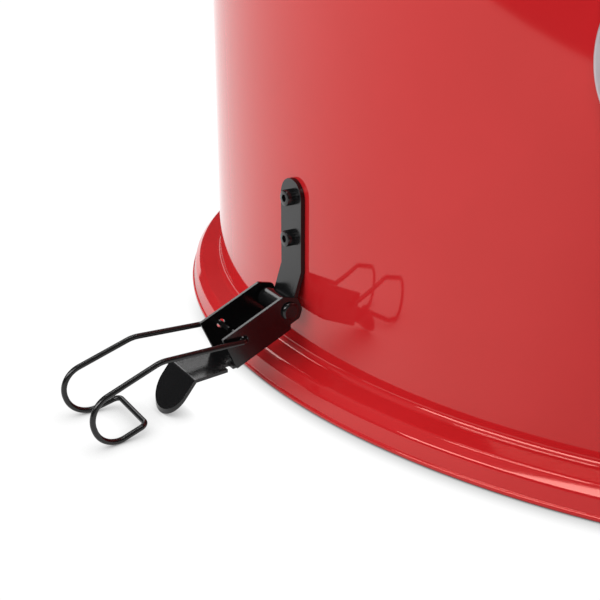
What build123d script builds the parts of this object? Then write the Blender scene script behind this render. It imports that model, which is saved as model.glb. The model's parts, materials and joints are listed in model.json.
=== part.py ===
import os
from math import asin, atan2, cos, degrees, radians, sin, sqrt

from build123d import *

os.makedirs("parts", exist_ok=True)

# All sizes in millimetres. The origin is on the barrel's axis at floor level, +Z is up and -Y is the front.
# An azimuth is counted from the front, positive towards +X.

# --- driving dimensions ----------------------------------------------------

barrel_radius = 279.4          # outside of the wall: a 22 inch barrel
barrel_height = 330.0
sheet = 1.2                    # enamelled steel sheet
rim_bead_radius = 3.0          # rolled wire edge at the top

flange_reach = 16.4            # how far the foot stands proud of the wall
flange_height = 13.4           # height of its ledge at the wall
flange_fillet = 3.0
shoulder_reach = 11.4          # end of the ledge
shoulder_drop = 1.1
skirt_reach = 14.3             # corner under the shoulder
skirt_drop = 4.6
hem_radius = 1.3               # rolled edge that stands on the floor

fit_gap = 0.05                 # radial clearance of pins and screws in their holes
overlap = 1.0                  # how far shapes run into each other before they are joined or cut
screw_tail = 2.0               # how far a screw passes its nut
quarter_turn = 90.0
seat_gap = 0.3                 # clearance between curved pieces that only rest on each other
face_gap = 0.1                 # clearance between flat faces that slide
tangent_gap = 0.02             # flat piece laid against the round wall

latch_azimuths = (-35.0, 35.0, 145.0, -145.0)
latch_names = ("front_left", "front_right", "back_right", "back_left")
strap_width = 16.0
strap_thickness = 2.0
strap_screw_heights = (83.3, 65.3)
strap_bend_height = 51.8
strap_screw_radius = 2.0
strap_screw_head_radius = 3.5
strap_screw_head_height = 3.4
strap_screw_head_round = 0.6
nut_radius = 4.2
nut_thickness = 3.2
nut_side_count = 6

pivot_reach = 9.6              # latch pin, out from the wall
pivot_height = 36.9
pivot_radius = 2.5
rivet_head_radius = 4.0
rivet_head_height = 1.6
lever_width = 22.0
lever_sheet = 1.5
lever_length = 32.0            # from the pin to the open end of the channel
lever_top = 7.5                # side wall above the pin's axis
lever_bottom = 8.4             # and below it
lever_tilt = 23.8              # the lever hangs this far below level
ear_back = 5.8                 # side wall behind the pin
ear_bottom = 6.2
ear_corner = 3.0               # height of the ear's corners above and below the pin
ear_round = 1.8
ear_step = 1.0                 # slope where the side wall reaches the bottom web
ear_length = 3.0               # where the bottom web starts
bail_hole_reach = 23.7
bail_hole_rise = 1.5
bail_hole_radius = 2.0
paddle_width = 23.0
tab_length = 19.6
tab_slope = 3.4                # the tab runs nearly level
tab_neck_start = 1.8           # relief between the channel and the tab
tab_neck_end = 4.8
tab_neck_width = 14.0
paddle_slope = 51.0
paddle_floor_gap = 0.1

bail_wire_radius = 1.2
bail_pin_reach = 8.0           # wire end inside the channel's side wall
bail_pin_bend = 1.6            # radii of the wire's bends
bail_leg_bend = 14.0
bail_bar_bend = 3.0
bail_leg_reach = 39.5          # straight leg, from the hole to its bend
bail_leg_rise = 1.3
bail_hook_radius = 10.3
bail_hook_reach = 59.8         # centre of the hook from the hole
bail_hook_slope = 15.5         # slope of the leg from the bend to the hook
bail_return = 20.4             # how far the wire runs back to its cross bar
bail_half_width_at_hook = 15.8
bail_half_width_at_bend = 14.0
bail_floor_gap = 0.05

damper_azimuths = (90.0, 180.0, 270.0)
damper_names = ("right", "back", "left")
damper_height = 62.0
damper_seat_radius = 38.0
damper_seat_reach = 3.6        # flat front of the seat, out from the wall
damper_radius = 36.0
damper_sheet = 1.5
damper_hole_radius = 9.0
damper_hole_circle = 20.0
damper_hole_count = 3
damper_rivet_radius = 2.5
damper_rivet_head_radius = 6.5
damper_rivet_head_height = 2.0
damper_rivet_head_round = 1.2
damper_rivet_tail_radius = 4.5
damper_rivet_tail = 1.5
damper_tab_width = 14.0
damper_tab_reach = 11.0
damper_tab_inset = 0.5

thermometer_height = 159.5
thermometer_radius = 37.5
thermometer_depth = 10.0
thermometer_wall = 2.4
thermometer_back = 1.5
thermometer_lip = 1.0
thermometer_lip_width = 4.5
thermometer_edge_round = 0.9
dial_thickness = 0.8
lens_thickness = 2.0
needle_shaft_radius = 1.0
needle_length = 27.0
needle_half_width = 1.6
needle_tip_half_width = 0.3
needle_hub_radius = 3.0
needle_lift = 0.9              # above the dial
needle_rest = 225.0            # the pointer rests on the cold end of the scale
stem_radius = 3.0
stem_length = 70.0
stem_boss_radius = 5.0
stem_boss_length = 12.0
stem_nut_radius = 9.5
stem_nut_thickness = 4.0

handle_drop = 95.0             # axis of the grip, below the barrel's rim
handle_reach = 36.0            # axis of the grip, out from the wall
handle_grip_radius = 12.0
grip_end_round = 3.0
handle_arm_offset = 63.0
handle_arm_thickness = 4.0
handle_arm_height = 26.0
handle_foot_thickness = 3.0
handle_foot_width = 36.0
handle_rod_radius = 4.0
handle_nut_thickness = 6.0
handle_nut_radius = 8.0
foot_screw_radius = 2.5
foot_screw_head_radius = 5.0
foot_screw_head_height = 2.8
foot_screw_head_round = 1.5
foot_nut_radius = 5.0

lid_skirt_reach = 6.6          # outside of the skirt, out from the barrel's wall
lid_skirt_drop = 15.5
dome_height = 160.0
lid_grip_reach = 31.6          # axis of the lid's grip, out from the barrel's wall
lid_grip_rise = 53.5           # and above the shoulder
lid_grip_radius = 11.0
lid_arm_offset = 66.0
lid_arm_root = 30.0            # how far an arm is drawn into the dome before it is cut away
lid_foot_width = 32.0
lid_foot_shift = 9.0           # centre of the foot, outside its arm
lid_foot_depth = 60.0
lid_damper_seat_radius = 60.0
lid_damper_seat_rise = 2.0
lid_damper_radius = 56.0
lid_damper_hole_radius = 11.0
lid_damper_hole_circle = 32.0
lid_damper_hole_count = 4
lid_damper_cut = 12.0          # depth drawn into the dome's top before it is cut away

hinge_reach = 15.6             # axis of the hinge pin, out from the wall
hinge_drop = 22.5              # and below the lid's shoulder
hinge_pin_radius = 3.0
hinge_pin_head_radius = 4.5
hinge_pin_head = 2.0
hinge_knuckle_radius = 6.0
hinge_width = 70.0
hinge_inner_knuckle = 23.0     # width of the lid's knuckle
hinge_leaf = 2.5
hinge_side_gap = 0.5
hinge_leaf_length = 47.0       # from the pin to the leaf's lower edge
hinge_leaf_margin = 1.5        # lid's leaf above the edge of the skirt, and below its top
hinge_web_drop = 26.0          # webs that carry the knuckles
hinge_root = 6.0               # how far they are drawn into the wall before it is cut away
hinge_screw_rise = 12.0
lid_rivet_drop = 6.0

bowl_rim_height = 130.0
bowl_gap = 16.2                # between the bowl's rim and the wall
bowl_rim_width = 12.0
bowl_sheet = 1.5
bowl_round = 3.5
bowl_ledge_height = 72.0
bowl_ledge_inset = 40.0        # ledge of the charcoal grate, in from the rim
bowl_ledge_width = 17.0
bowl_mouth_radius = 60.0
bowl_mouth_height = 42.0
charcoal_grate_wire = 3.0
charcoal_bar_wire = 2.5
charcoal_bar_spacing = 28.0
cooking_grate_drop = 68.0      # below the barrel's rim
cooking_grate_wire = 3.0
cooking_grate_gap = 11.0       # between its ring and the wall
cooking_bar_wire = 2.2
cooking_bar_spacing = 18.0
weld_depth = 0.8
bracket_azimuths = (30.0, 150.0, 270.0)
bracket_width = 24.0
bracket_thickness = 2.0
bracket_tab_overlap = 8.0      # how far a tab reaches under what it carries
bracket_plate_height = 18.0
bracket_rivet_radius = 2.0
bracket_rivet_head_radius = 4.0
bracket_rivet_head_height = 1.5
bracket_root = 20.0            # how far a bracket is drawn past the wall before it is cut off

pan_rim_height = 24.0
pan_floor_height = 4.0
pan_side_height = 12.0
pan_side_inset = 16.2          # foot of the sloping side, in from the wall
pan_round = 4.0
pan_foot_chamfer = 1.0
pan_foot_radius = 12.0
pan_foot_circle = 200.0
pan_foot_count = 4

# --- worked out from them --------------------------------------------------

inner_radius = barrel_radius - sheet
lid_base = barrel_height + sheet + seat_gap
hinge_height = lid_base - hinge_drop
hinge_leaf_bottom = hinge_height - hinge_leaf_length
handle_height = barrel_height - handle_drop
lid_skirt_radius = barrel_radius + lid_skirt_reach
bowl_rim_radius = inner_radius - bowl_gap
bowl_ledge_outer = bowl_rim_radius - bowl_ledge_inset
cooking_grate_height = barrel_height - cooking_grate_drop
cooking_grate_radius = inner_radius - cooking_grate_gap
pan_floor_radius = inner_radius - pan_side_inset
strap_back = barrel_radius + tangent_gap
strap_front = strap_back + strap_thickness
pivot_r = barrel_radius + pivot_reach
knuckle_bore = pivot_radius + fit_gap
knuckle_radius = knuckle_bore + strap_thickness
dome_radius = barrel_radius + 0.1
damper_seat_plane = barrel_radius + damper_seat_reach
lid_top = lid_base + dome_height
cutter_height = 900.0


def outward(azimuth):
    """Unit vector away from the barrel's axis."""
    return Vector(sin(radians(azimuth)), -cos(radians(azimuth)), 0)


def sideways(azimuth):
    """Unit vector along the wall."""
    return Vector(cos(radians(azimuth)), sin(radians(azimuth)), 0)


def radial_plane(azimuth):
    """Plane through the barrel's axis: x is the radius and y is the height."""
    return Plane(origin=(0, 0, 0), x_dir=outward(azimuth), z_dir=-sideways(azimuth))


def wall_plane(azimuth, height, distance, turn=0):
    """Plane that faces outwards at a distance from the axis: y is up, before any turn."""
    origin = outward(azimuth) * distance + Vector(0, 0, height)
    x_dir = sideways(azimuth) * cos(radians(turn)) + Vector(0, 0, sin(radians(turn)))
    return Plane(origin=origin, x_dir=x_dir, z_dir=outward(azimuth))


def save(part, name):
    """Label a finished piece and write its STEP file."""
    part.label = name
    export_step(part, f"parts/{name}.step")


def cylinder_core(radius):
    """Filled upright cylinder, used to shape what lies against a round wall."""
    with BuildPart() as core:
        with BuildSketch(Plane.XY.offset(-cutter_height / 2)):
            Circle(radius)
        extrude(amount=1.5 * cutter_height)
    return core.part


def dome_core(grow):
    """Filled dome of the lid, grown outwards, used to shape what lies on it."""
    with BuildPart() as core:
        with BuildSketch(Plane.XZ):
            with BuildLine():
                foot = Line((0, lid_base), (dome_radius + grow, lid_base))
                arc = EllipticalCenterArc(
                    (0, lid_base), dome_radius + grow, dome_height + grow, arc_size=quarter_turn
                )
                Line(arc @ 1, foot @ 0)
            make_face()
        revolve(axis=Axis.Z)
    return core.part


def radial_screws(places, seat, shank, length, head, head_height, head_fillet):
    """Screws or rivets that point at the axis, with their heads outside."""
    with BuildPart() as screws:
        for azimuth, height in places:
            with BuildSketch(wall_plane(azimuth, height, seat)):
                Circle(shank)
            extrude(amount=-length)
            with BuildSketch(wall_plane(azimuth, height, seat)):
                Circle(head)
            head_part = extrude(amount=head_height)
            rim = head_part.edges().filter_by(GeomType.CIRCLE)
            far = rim.sort_by(lambda edge: edge.arc_center.dot(outward(azimuth)))[-1]
            fillet(far, radius=head_fillet)
    return screws.part


def radial_nuts(places, face, bore, radius, thickness):
    """Hexagon nuts inside the barrel."""
    with BuildPart() as nuts:
        for azimuth, height in places:
            with BuildSketch(wall_plane(azimuth, height, face)):
                RegularPolygon(radius, nut_side_count)
                Circle(bore + fit_gap, mode=Mode.SUBTRACT)
            extrude(amount=-thickness)
    return nuts.part


# --- where the fasteners go ------------------------------------------------

strap_screw_places = [(a, h) for a in latch_azimuths for h in strap_screw_heights]
handle_foot_azimuth = degrees(asin((handle_arm_offset + handle_foot_width / 3) / barrel_radius))
handle_screw_places = [
    (side * 90 + turn * handle_foot_azimuth, handle_height) for side in (1, -1) for turn in (1, -1)
]
hinge_screw_turn = degrees(asin(hinge_width / 3 / barrel_radius))
hinge_screw_height = hinge_leaf_bottom + hinge_screw_rise
hinge_screw_places = [(180 + turn * hinge_screw_turn, hinge_screw_height) for turn in (1, -1)]
lid_rivet_height = lid_base - sheet - lid_rivet_drop
lid_rivet_places = [(180 + turn * hinge_screw_turn, lid_rivet_height) for turn in (1, -1)]
bowl_rivet_height = bowl_rim_height - bracket_plate_height / 2
grate_rivet_height = cooking_grate_height - bracket_plate_height / 2
bracket_rivet_places = [(a, h) for a in bracket_azimuths for h in (bowl_rivet_height, grate_rivet_height)]

# --- barrel ----------------------------------------------------------------

with BuildPart() as barrel_shell:
    with BuildSketch(Plane.XZ):
        with BuildLine():
            FilletPolyline(
                (barrel_radius, barrel_height - rim_bead_radius),
                (barrel_radius, flange_height),
                (barrel_radius + shoulder_reach, flange_height - shoulder_drop),
                (barrel_radius + skirt_reach, flange_height - skirt_drop),
                (barrel_radius + flange_reach - sheet / 2, hem_radius),
                radius=flange_fillet,
            )
            offset(amount=sheet, side=Side.RIGHT)
        make_face()
        with Locations((barrel_radius, barrel_height - rim_bead_radius)):
            Circle(rim_bead_radius)
        with Locations((barrel_radius + flange_reach - hem_radius, hem_radius)):
            Circle(hem_radius)
    revolve(axis=Axis.Z)
    for azimuth, height in strap_screw_places:
        with BuildSketch(wall_plane(azimuth, height, inner_radius - sheet)):
            Circle(strap_screw_radius + fit_gap)
        extrude(amount=3 * sheet, mode=Mode.SUBTRACT)
    for azimuth, height in handle_screw_places + hinge_screw_places:
        with BuildSketch(wall_plane(azimuth, height, inner_radius - sheet)):
            Circle(foot_screw_radius + fit_gap)
        extrude(amount=3 * sheet, mode=Mode.SUBTRACT)
    for azimuth, height in bracket_rivet_places:
        with BuildSketch(wall_plane(azimuth, height, inner_radius - sheet)):
            Circle(bracket_rivet_radius + fit_gap)
        extrude(amount=3 * sheet, mode=Mode.SUBTRACT)
    with BuildSketch(wall_plane(0, thermometer_height, inner_radius - sheet)):
        Circle(stem_boss_radius + fit_gap)
    extrude(amount=3 * sheet, mode=Mode.SUBTRACT)
    for azimuth in damper_azimuths:
        with BuildSketch(wall_plane(azimuth, damper_height, inner_radius - 2 * sheet)):
            with PolarLocations(damper_hole_circle, damper_hole_count, start_angle=90):
                Circle(damper_hole_radius)
            Circle(damper_rivet_radius + fit_gap)
        extrude(amount=5 * sheet, mode=Mode.SUBTRACT)
save(barrel_shell.part, "barrel_shell")

barrel_core = cylinder_core(barrel_radius)

# --- ash pan ---------------------------------------------------------------

pan_rim_radius = inner_radius - seat_gap

with BuildPart() as ash_pan:
    with BuildSketch(Plane.XZ):
        with BuildLine():
            FilletPolyline(
                (pan_rim_radius, pan_rim_height),
                (pan_rim_radius, pan_floor_height + pan_side_height),
                (pan_floor_radius, pan_floor_height),
                (pan_foot_circle, pan_floor_height),
                radius=pan_round,
            )
            offset(amount=sheet, side=Side.RIGHT)
        make_face()
        with Locations((0, pan_floor_height)):
            Rectangle(pan_foot_circle + overlap, sheet, align=(Align.MIN, Align.MIN))
    revolve(axis=Axis.Z)
save(ash_pan.part, "ash_pan")

with BuildPart() as pan_feet:
    with BuildSketch():
        with PolarLocations(pan_foot_circle, pan_foot_count, start_angle=45):
            Circle(pan_foot_radius)
    extrude(amount=pan_floor_height)
    chamfer(pan_feet.faces().sort_by(Axis.Z)[0].edges(), length=pan_foot_chamfer)
save(pan_feet.part, "pan_feet")

# --- charcoal bowl and grates ----------------------------------------------

with BuildPart() as charcoal_bowl:
    with BuildSketch(Plane.XZ):
        with BuildLine():
            FilletPolyline(
                (bowl_rim_radius, bowl_rim_height),
                (bowl_rim_radius - bowl_rim_width, bowl_rim_height),
                (bowl_ledge_outer, bowl_ledge_height),
                (bowl_ledge_outer - bowl_ledge_width, bowl_ledge_height),
                (bowl_mouth_radius, bowl_mouth_height),
                radius=bowl_round,
            )
            offset(amount=bowl_sheet, side=Side.RIGHT)
        make_face()
    revolve(axis=Axis.Z)
save(charcoal_bowl.part, "charcoal_bowl")


def round_grate(height, ring_radius, ring_wire, bar_wire, spacing):
    """Ring of wire with parallel bars welded on top of it, and two bars under those."""
    bars = int((ring_radius - spacing / 2) // spacing)
    bar_height = height + ring_wire + bar_wire - weld_depth
    brace_y = ring_radius / 2
    brace_half = sqrt((ring_radius - 2 * ring_wire) ** 2 - brace_y**2)
    with BuildPart() as grate:
        with BuildSketch(Plane.XZ):
            with Locations((0, bar_height)):
                with GridLocations(spacing, 1, 2 * bars + 1, 1):
                    Circle(bar_wire)
        extrude(amount=ring_radius, both=True)
        with BuildSketch(Plane.XY.offset(bar_height - 2 * bar_wire)):
            Circle(ring_radius)
        extrude(amount=4 * bar_wire, mode=Mode.INTERSECT)
        with BuildSketch(Plane.XZ):
            with Locations((ring_radius, height)):
                Circle(ring_wire)
        revolve(axis=Axis.Z)
        with BuildSketch(Plane.YZ):
            with Locations((0, bar_height - 2 * bar_wire + weld_depth)):
                with GridLocations(2 * brace_y, 1, 2, 1):
                    Circle(bar_wire)
        extrude(amount=brace_half, both=True)
    return grate.part


charcoal_grate_height = bowl_ledge_height + bowl_sheet + charcoal_grate_wire
charcoal_grate_radius = bowl_ledge_outer - bowl_ledge_width / 2 - overlap
save(
    round_grate(
        charcoal_grate_height,
        charcoal_grate_radius,
        charcoal_grate_wire,
        charcoal_bar_wire,
        charcoal_bar_spacing,
    ),
    "charcoal_grate",
)
save(
    round_grate(
        cooking_grate_height + cooking_grate_wire,
        cooking_grate_radius,
        cooking_grate_wire,
        cooking_bar_wire,
        cooking_bar_spacing,
    ),
    "cooking_grate",
)


def wall_brackets(top, carried_radius):
    """Angle brackets riveted inside the wall, with level tabs under what they carry."""
    tab_start = carried_radius - bracket_tab_overlap
    with BuildPart() as brackets:
        with BuildSketch(Plane.XY.offset(top - bracket_plate_height)):
            Circle(inner_radius)
            Circle(inner_radius - bracket_thickness, mode=Mode.SUBTRACT)
        extrude(amount=bracket_plate_height)
        with BuildSketch(Plane.XY.offset(top - bracket_thickness)):
            Circle(inner_radius)
            Circle(tab_start, mode=Mode.SUBTRACT)
        extrude(amount=bracket_thickness)
        with BuildSketch(Plane.XY.offset(top - bracket_plate_height)):
            for azimuth in bracket_azimuths:
                with Locations(Plane(origin=outward(azimuth) * inner_radius, x_dir=outward(azimuth))):
                    Rectangle(inner_radius - tab_start + bracket_root, bracket_width)
        extrude(amount=bracket_plate_height, mode=Mode.INTERSECT)
        for azimuth in bracket_azimuths:
            with BuildSketch(wall_plane(azimuth, top - bracket_plate_height / 2, barrel_radius)):
                Circle(bracket_rivet_radius + fit_gap)
            extrude(amount=-4 * bracket_thickness, mode=Mode.SUBTRACT)
    return brackets.part


save(wall_brackets(bowl_rim_height, bowl_rim_radius), "bowl_brackets")
save(
    wall_brackets(cooking_grate_height, cooking_grate_radius + cooking_grate_wire),
    "grate_brackets",
)
save(
    radial_screws(
        bracket_rivet_places,
        barrel_radius + tangent_gap,
        bracket_rivet_radius,
        sheet + bracket_thickness + tangent_gap,
        bracket_rivet_head_radius,
        bracket_rivet_head_height,
        bracket_rivet_head_height / 2,
    ),
    "bracket_rivets",
)

# --- latches ---------------------------------------------------------------

# Tangent from the strap's bend to the bore of its knuckle, in the radial plane.
bend_run = pivot_r - strap_front
bend_fall = strap_bend_height - pivot_height
bend_span = sqrt(bend_run**2 + bend_fall**2)
strap_slope = degrees(atan2(bend_fall, bend_run) + asin(knuckle_bore / bend_span))
tangent_point = (
    pivot_r - knuckle_bore * sin(radians(strap_slope)),
    pivot_height - knuckle_bore * cos(radians(strap_slope)),
)
strap_top = strap_screw_heights[0] + strap_width / 2

with BuildPart() as latch_straps:
    for azimuth in latch_azimuths:
        with BuildSketch(radial_plane(azimuth)):
            with BuildLine():
                Polyline((strap_front, strap_top), (strap_front, strap_bend_height), tangent_point)
                offset(amount=strap_thickness, side=Side.RIGHT)
            make_face()
            with Locations((pivot_r, pivot_height)):
                Circle(knuckle_radius)
                Circle(knuckle_bore, mode=Mode.SUBTRACT)
        extrude(amount=strap_width / 2, both=True)
        with BuildSketch(wall_plane(azimuth, strap_screw_heights[0], strap_back - overlap)):
            with Locations((0, strap_width / 2)):
                Rectangle(2 * strap_width, strap_width)
            Circle(strap_width / 2, mode=Mode.SUBTRACT)
        extrude(amount=3 * strap_thickness, mode=Mode.SUBTRACT)
        for height in strap_screw_heights:
            with BuildSketch(wall_plane(azimuth, height, strap_back - overlap)):
                Circle(strap_screw_radius + fit_gap)
            extrude(amount=2 * strap_thickness, mode=Mode.SUBTRACT)
save(latch_straps.part, "latch_straps")

strap_screw_length = strap_thickness + sheet + nut_thickness + screw_tail
save(
    radial_screws(
        strap_screw_places,
        strap_front,
        strap_screw_radius,
        strap_screw_length,
        strap_screw_head_radius,
        strap_screw_head_height,
        strap_screw_head_round,
    ),
    "strap_screws",
)
save(
    radial_nuts(
        strap_screw_places,
        inner_radius - tangent_gap - fit_gap,
        strap_screw_radius,
        nut_radius,
        nut_thickness,
    ),
    "strap_nuts",
)


def latch_plane(azimuth, side_offset):
    """Radial plane through the latch's pin, turned down by the lever's tilt and moved sideways."""
    origin = outward(azimuth) * pivot_r + Vector(0, 0, pivot_height) + sideways(azimuth) * side_offset
    along = outward(azimuth) * cos(radians(lever_tilt)) - Vector(0, 0, sin(radians(lever_tilt)))
    return Plane(origin=origin, x_dir=along, z_dir=-sideways(azimuth))


with BuildPart() as latch_rivets:
    for azimuth in latch_azimuths:
        with BuildSketch(latch_plane(azimuth, 0)):
            Circle(pivot_radius)
        extrude(amount=lever_width / 2 + face_gap, both=True)
        for side in (1, -1):
            head_plane = latch_plane(azimuth, side * (lever_width / 2 + face_gap))
            with BuildSketch(head_plane):
                Circle(rivet_head_radius)
            head = extrude(amount=-side * rivet_head_height)
            rim = head.edges().filter_by(GeomType.CIRCLE)
            far = rim.sort_by(lambda edge: side * edge.arc_center.dot(sideways(azimuth)))[-1]
            fillet(far, radius=0.8 * rivet_head_height)
save(latch_rivets.part, "latch_rivets")

# The tab leaves the open end of the channel's web, and its paddle is bent down to the floor.
tab_turn = lever_tilt - tab_slope
paddle_turn = lever_tilt - paddle_slope
tab_start = (lever_length, -lever_bottom)
tab_end = (
    tab_start[0] + tab_length * cos(radians(tab_turn)),
    tab_start[1] + tab_length * sin(radians(tab_turn)),
)
tab_end_height = (
    pivot_height
    - lever_length * sin(radians(lever_tilt))
    - lever_bottom * cos(radians(lever_tilt))
    - tab_length * sin(radians(tab_slope))
)
paddle_length = (tab_end_height - paddle_floor_gap) / sin(radians(paddle_slope))
paddle_end = (
    tab_end[0] + paddle_length * cos(radians(paddle_turn)),
    tab_end[1] + paddle_length * sin(radians(paddle_turn)),
)

# Seen from above, the paddle ends in a half circle drawn short by its slope.
tab_reach = tab_length * cos(radians(tab_slope))
paddle_reach = tab_reach + paddle_length * cos(radians(paddle_slope))
paddle_end_round = paddle_width / 2 * cos(radians(paddle_slope))
web_width = lever_width - lever_sheet

for name, azimuth in zip(latch_names, latch_azimuths):
    channel_plane = latch_plane(azimuth, 0)
    web_plane = Plane(
        origin=channel_plane.from_local_coords(Vector(*tab_start)) - Vector(0, 0, paddle_reach),
        x_dir=outward(azimuth),
        z_dir=(0, 0, 1),
    )
    with BuildPart() as lever:
        with BuildSketch(channel_plane):
            with BuildLine():
                Polyline((ear_length, -lever_bottom), tab_start, tab_end, paddle_end)
                offset(amount=lever_sheet, side=Side.LEFT)
            make_face()
        extrude(amount=lever_width, both=True)
        with BuildSketch(web_plane):
            with Locations((tab_neck_start, 0)):
                Rectangle(lever_length, web_width, align=(Align.MAX, Align.CENTER))
            with Locations((tab_neck_start - overlap, 0)):
                Rectangle(
                    tab_neck_end - tab_neck_start + 2 * overlap,
                    tab_neck_width,
                    align=(Align.MIN, Align.CENTER),
                )
            with Locations((tab_neck_end, 0)):
                Rectangle(
                    paddle_reach - paddle_end_round - tab_neck_end,
                    paddle_width,
                    align=(Align.MIN, Align.CENTER),
                )
            with Locations((paddle_reach - paddle_end_round, 0)):
                Ellipse(paddle_end_round, paddle_width / 2)
        extrude(amount=2 * paddle_reach, mode=Mode.INTERSECT)
        for side in (1, -1):
            with BuildSketch(latch_plane(azimuth, side * lever_width / 2)) as side_wall:
                with BuildLine():
                    Polyline(
                        (lever_length, -lever_bottom),
                        (lever_length, lever_top),
                        (0, lever_top),
                        (-ear_back, ear_corner),
                        (-ear_back, -ear_corner),
                        (-ear_corner, -ear_bottom),
                        (ear_length - ear_step, -ear_bottom),
                        (ear_length, -lever_bottom),
                        close=True,
                    )
                make_face()
                ear_corners = side_wall.vertices().filter_by_position(Axis.X, -lever_length, fit_gap)
                fillet(ear_corners, radius=ear_round)
                Circle(knuckle_bore, mode=Mode.SUBTRACT)
                with Locations((bail_hole_reach, bail_hole_rise)):
                    Circle(bail_hole_radius, mode=Mode.SUBTRACT)
            extrude(amount=side * lever_sheet)
    save(lever.part, f"lever_{name}")


def bail_point(azimuth, reach, rise, half_width, side):
    """Point on a bail's leg, counted from the bail holes' axis."""
    tilt = radians(lever_tilt)
    radius = pivot_r + bail_hole_reach * cos(tilt) + bail_hole_rise * sin(tilt) + reach
    height = pivot_height - bail_hole_reach * sin(tilt) + bail_hole_rise * cos(tilt) + rise
    return outward(azimuth) * radius + sideways(azimuth) * side * half_width + Vector(0, 0, height)


hole_height = (
    pivot_height
    - bail_hole_reach * sin(radians(lever_tilt))
    + bail_hole_rise * cos(radians(lever_tilt))
)
hook_drop = hole_height - bail_hook_radius - bail_wire_radius - bail_floor_gap
slope_run = cos(radians(bail_hook_slope))
slope_rise = sin(radians(bail_hook_slope))
corner_top = (
    bail_hook_reach + bail_hook_radius * (slope_run + slope_rise),
    -hook_drop + bail_hook_radius * (slope_run - slope_rise),
)
corner_bottom = (
    bail_hook_reach + bail_hook_radius * (slope_run - slope_rise),
    -hook_drop - bail_hook_radius * (slope_run + slope_rise),
)
bail_end = (
    corner_bottom[0] - bail_return * slope_run,
    corner_bottom[1] + bail_return * slope_rise,
)
leg_half_width = lever_width / 2 + bail_wire_radius + seat_gap
pin_half_width = lever_width / 2 - lever_sheet - bail_pin_reach
hook_bend = bail_hook_radius - face_gap

bail_route = (
    (0, 0, pin_half_width),
    (0, 0, leg_half_width),
    (bail_leg_reach, bail_leg_rise, bail_half_width_at_bend),
    (corner_top[0], corner_top[1], bail_half_width_at_hook),
    (corner_bottom[0], corner_bottom[1], bail_half_width_at_hook),
    (bail_end[0], bail_end[1], bail_half_width_at_bend),
)
bail_radii = (bail_pin_bend, bail_leg_bend, hook_bend, hook_bend, bail_bar_bend)

for name, azimuth in zip(latch_names, latch_azimuths):
    near = [bail_point(azimuth, *step, 1) for step in bail_route]
    far = [bail_point(azimuth, *step, -1) for step in reversed(bail_route)]
    with BuildPart() as bail:
        with BuildLine() as wire_path:
            FilletPolyline(*near, *far, radius=[*bail_radii, *reversed(bail_radii)])
        with BuildSketch(Plane(origin=near[0], z_dir=sideways(azimuth))):
            Circle(bail_wire_radius)
        sweep(path=wire_path.wires()[0])
    save(bail.part, f"bail_{name}")

# --- intake dampers --------------------------------------------------------


def vent_holes(radius, circle, count, start):
    """Ring of round vent holes in the sketch being drawn."""
    with PolarLocations(circle, count, start_angle=start):
        Circle(radius, mode=Mode.SUBTRACT)


damper_half_pitch = 180 / damper_hole_count

with BuildPart() as damper_seats:
    for azimuth in damper_azimuths:
        with BuildSketch(wall_plane(azimuth, damper_height, damper_seat_plane)):
            Circle(damper_seat_radius)
            vent_holes(damper_hole_radius, damper_hole_circle, damper_hole_count, 90)
            Circle(damper_rivet_radius + fit_gap, mode=Mode.SUBTRACT)
        extrude(amount=-3 * damper_seat_reach)
    add(barrel_core, mode=Mode.SUBTRACT)
save(damper_seats.part, "damper_seats")

damper_plane = damper_seat_plane + face_gap
damper_front = damper_plane + damper_sheet

for name, azimuth in zip(damper_names, damper_azimuths):
    with BuildPart() as damper:
        with BuildSketch(wall_plane(azimuth, damper_height, damper_plane)):
            Circle(damper_radius)
            vent_holes(
                damper_hole_radius,
                damper_hole_circle,
                damper_hole_count,
                90 + damper_half_pitch,
            )
            Circle(damper_rivet_radius + fit_gap, mode=Mode.SUBTRACT)
        extrude(amount=damper_sheet)
        # Finger tab, bent out from the rim.
        with BuildSketch(wall_plane(azimuth, damper_height, damper_plane)):
            with Locations((0, damper_radius - damper_sheet - damper_tab_inset)):
                Rectangle(damper_tab_width, damper_sheet, align=(Align.CENTER, Align.MIN))
        extrude(amount=damper_tab_reach)
    save(damper.part, f"intake_damper_{name}")

with BuildPart() as damper_rivets:
    for azimuth in damper_azimuths:
        with BuildSketch(wall_plane(azimuth, damper_height, damper_front + face_gap)):
            Circle(damper_rivet_radius)
        extrude(amount=-(damper_front + face_gap - inner_radius + damper_rivet_tail))
        with BuildSketch(wall_plane(azimuth, damper_height, damper_front + face_gap)):
            Circle(damper_rivet_head_radius)
        extrude(amount=damper_rivet_head_height)
        with BuildSketch(wall_plane(azimuth, damper_height, inner_radius - face_gap)):
            Circle(damper_rivet_tail_radius)
        extrude(amount=-damper_rivet_tail)
    tops = [
        edge
        for edge in damper_rivets.edges().filter_by(GeomType.CIRCLE)
        if abs(edge.radius - damper_rivet_head_radius) < fit_gap
        and Vector(edge.arc_center.X, edge.arc_center.Y, 0).length > damper_front + overlap
    ]
    fillet(tops, radius=damper_rivet_head_round)
save(damper_rivets.part, "damper_rivets")

# --- thermometer -----------------------------------------------------------

case_back = barrel_radius + tangent_gap
dial_back = case_back + thermometer_back + tangent_gap
dial_front = dial_back + dial_thickness
lip_back = case_back + thermometer_depth - thermometer_lip
lens_front = lip_back - tangent_gap
case_bore = thermometer_radius - thermometer_wall
needle_back = dial_front + needle_lift
spindle_hole = needle_shaft_radius + seat_gap

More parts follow.
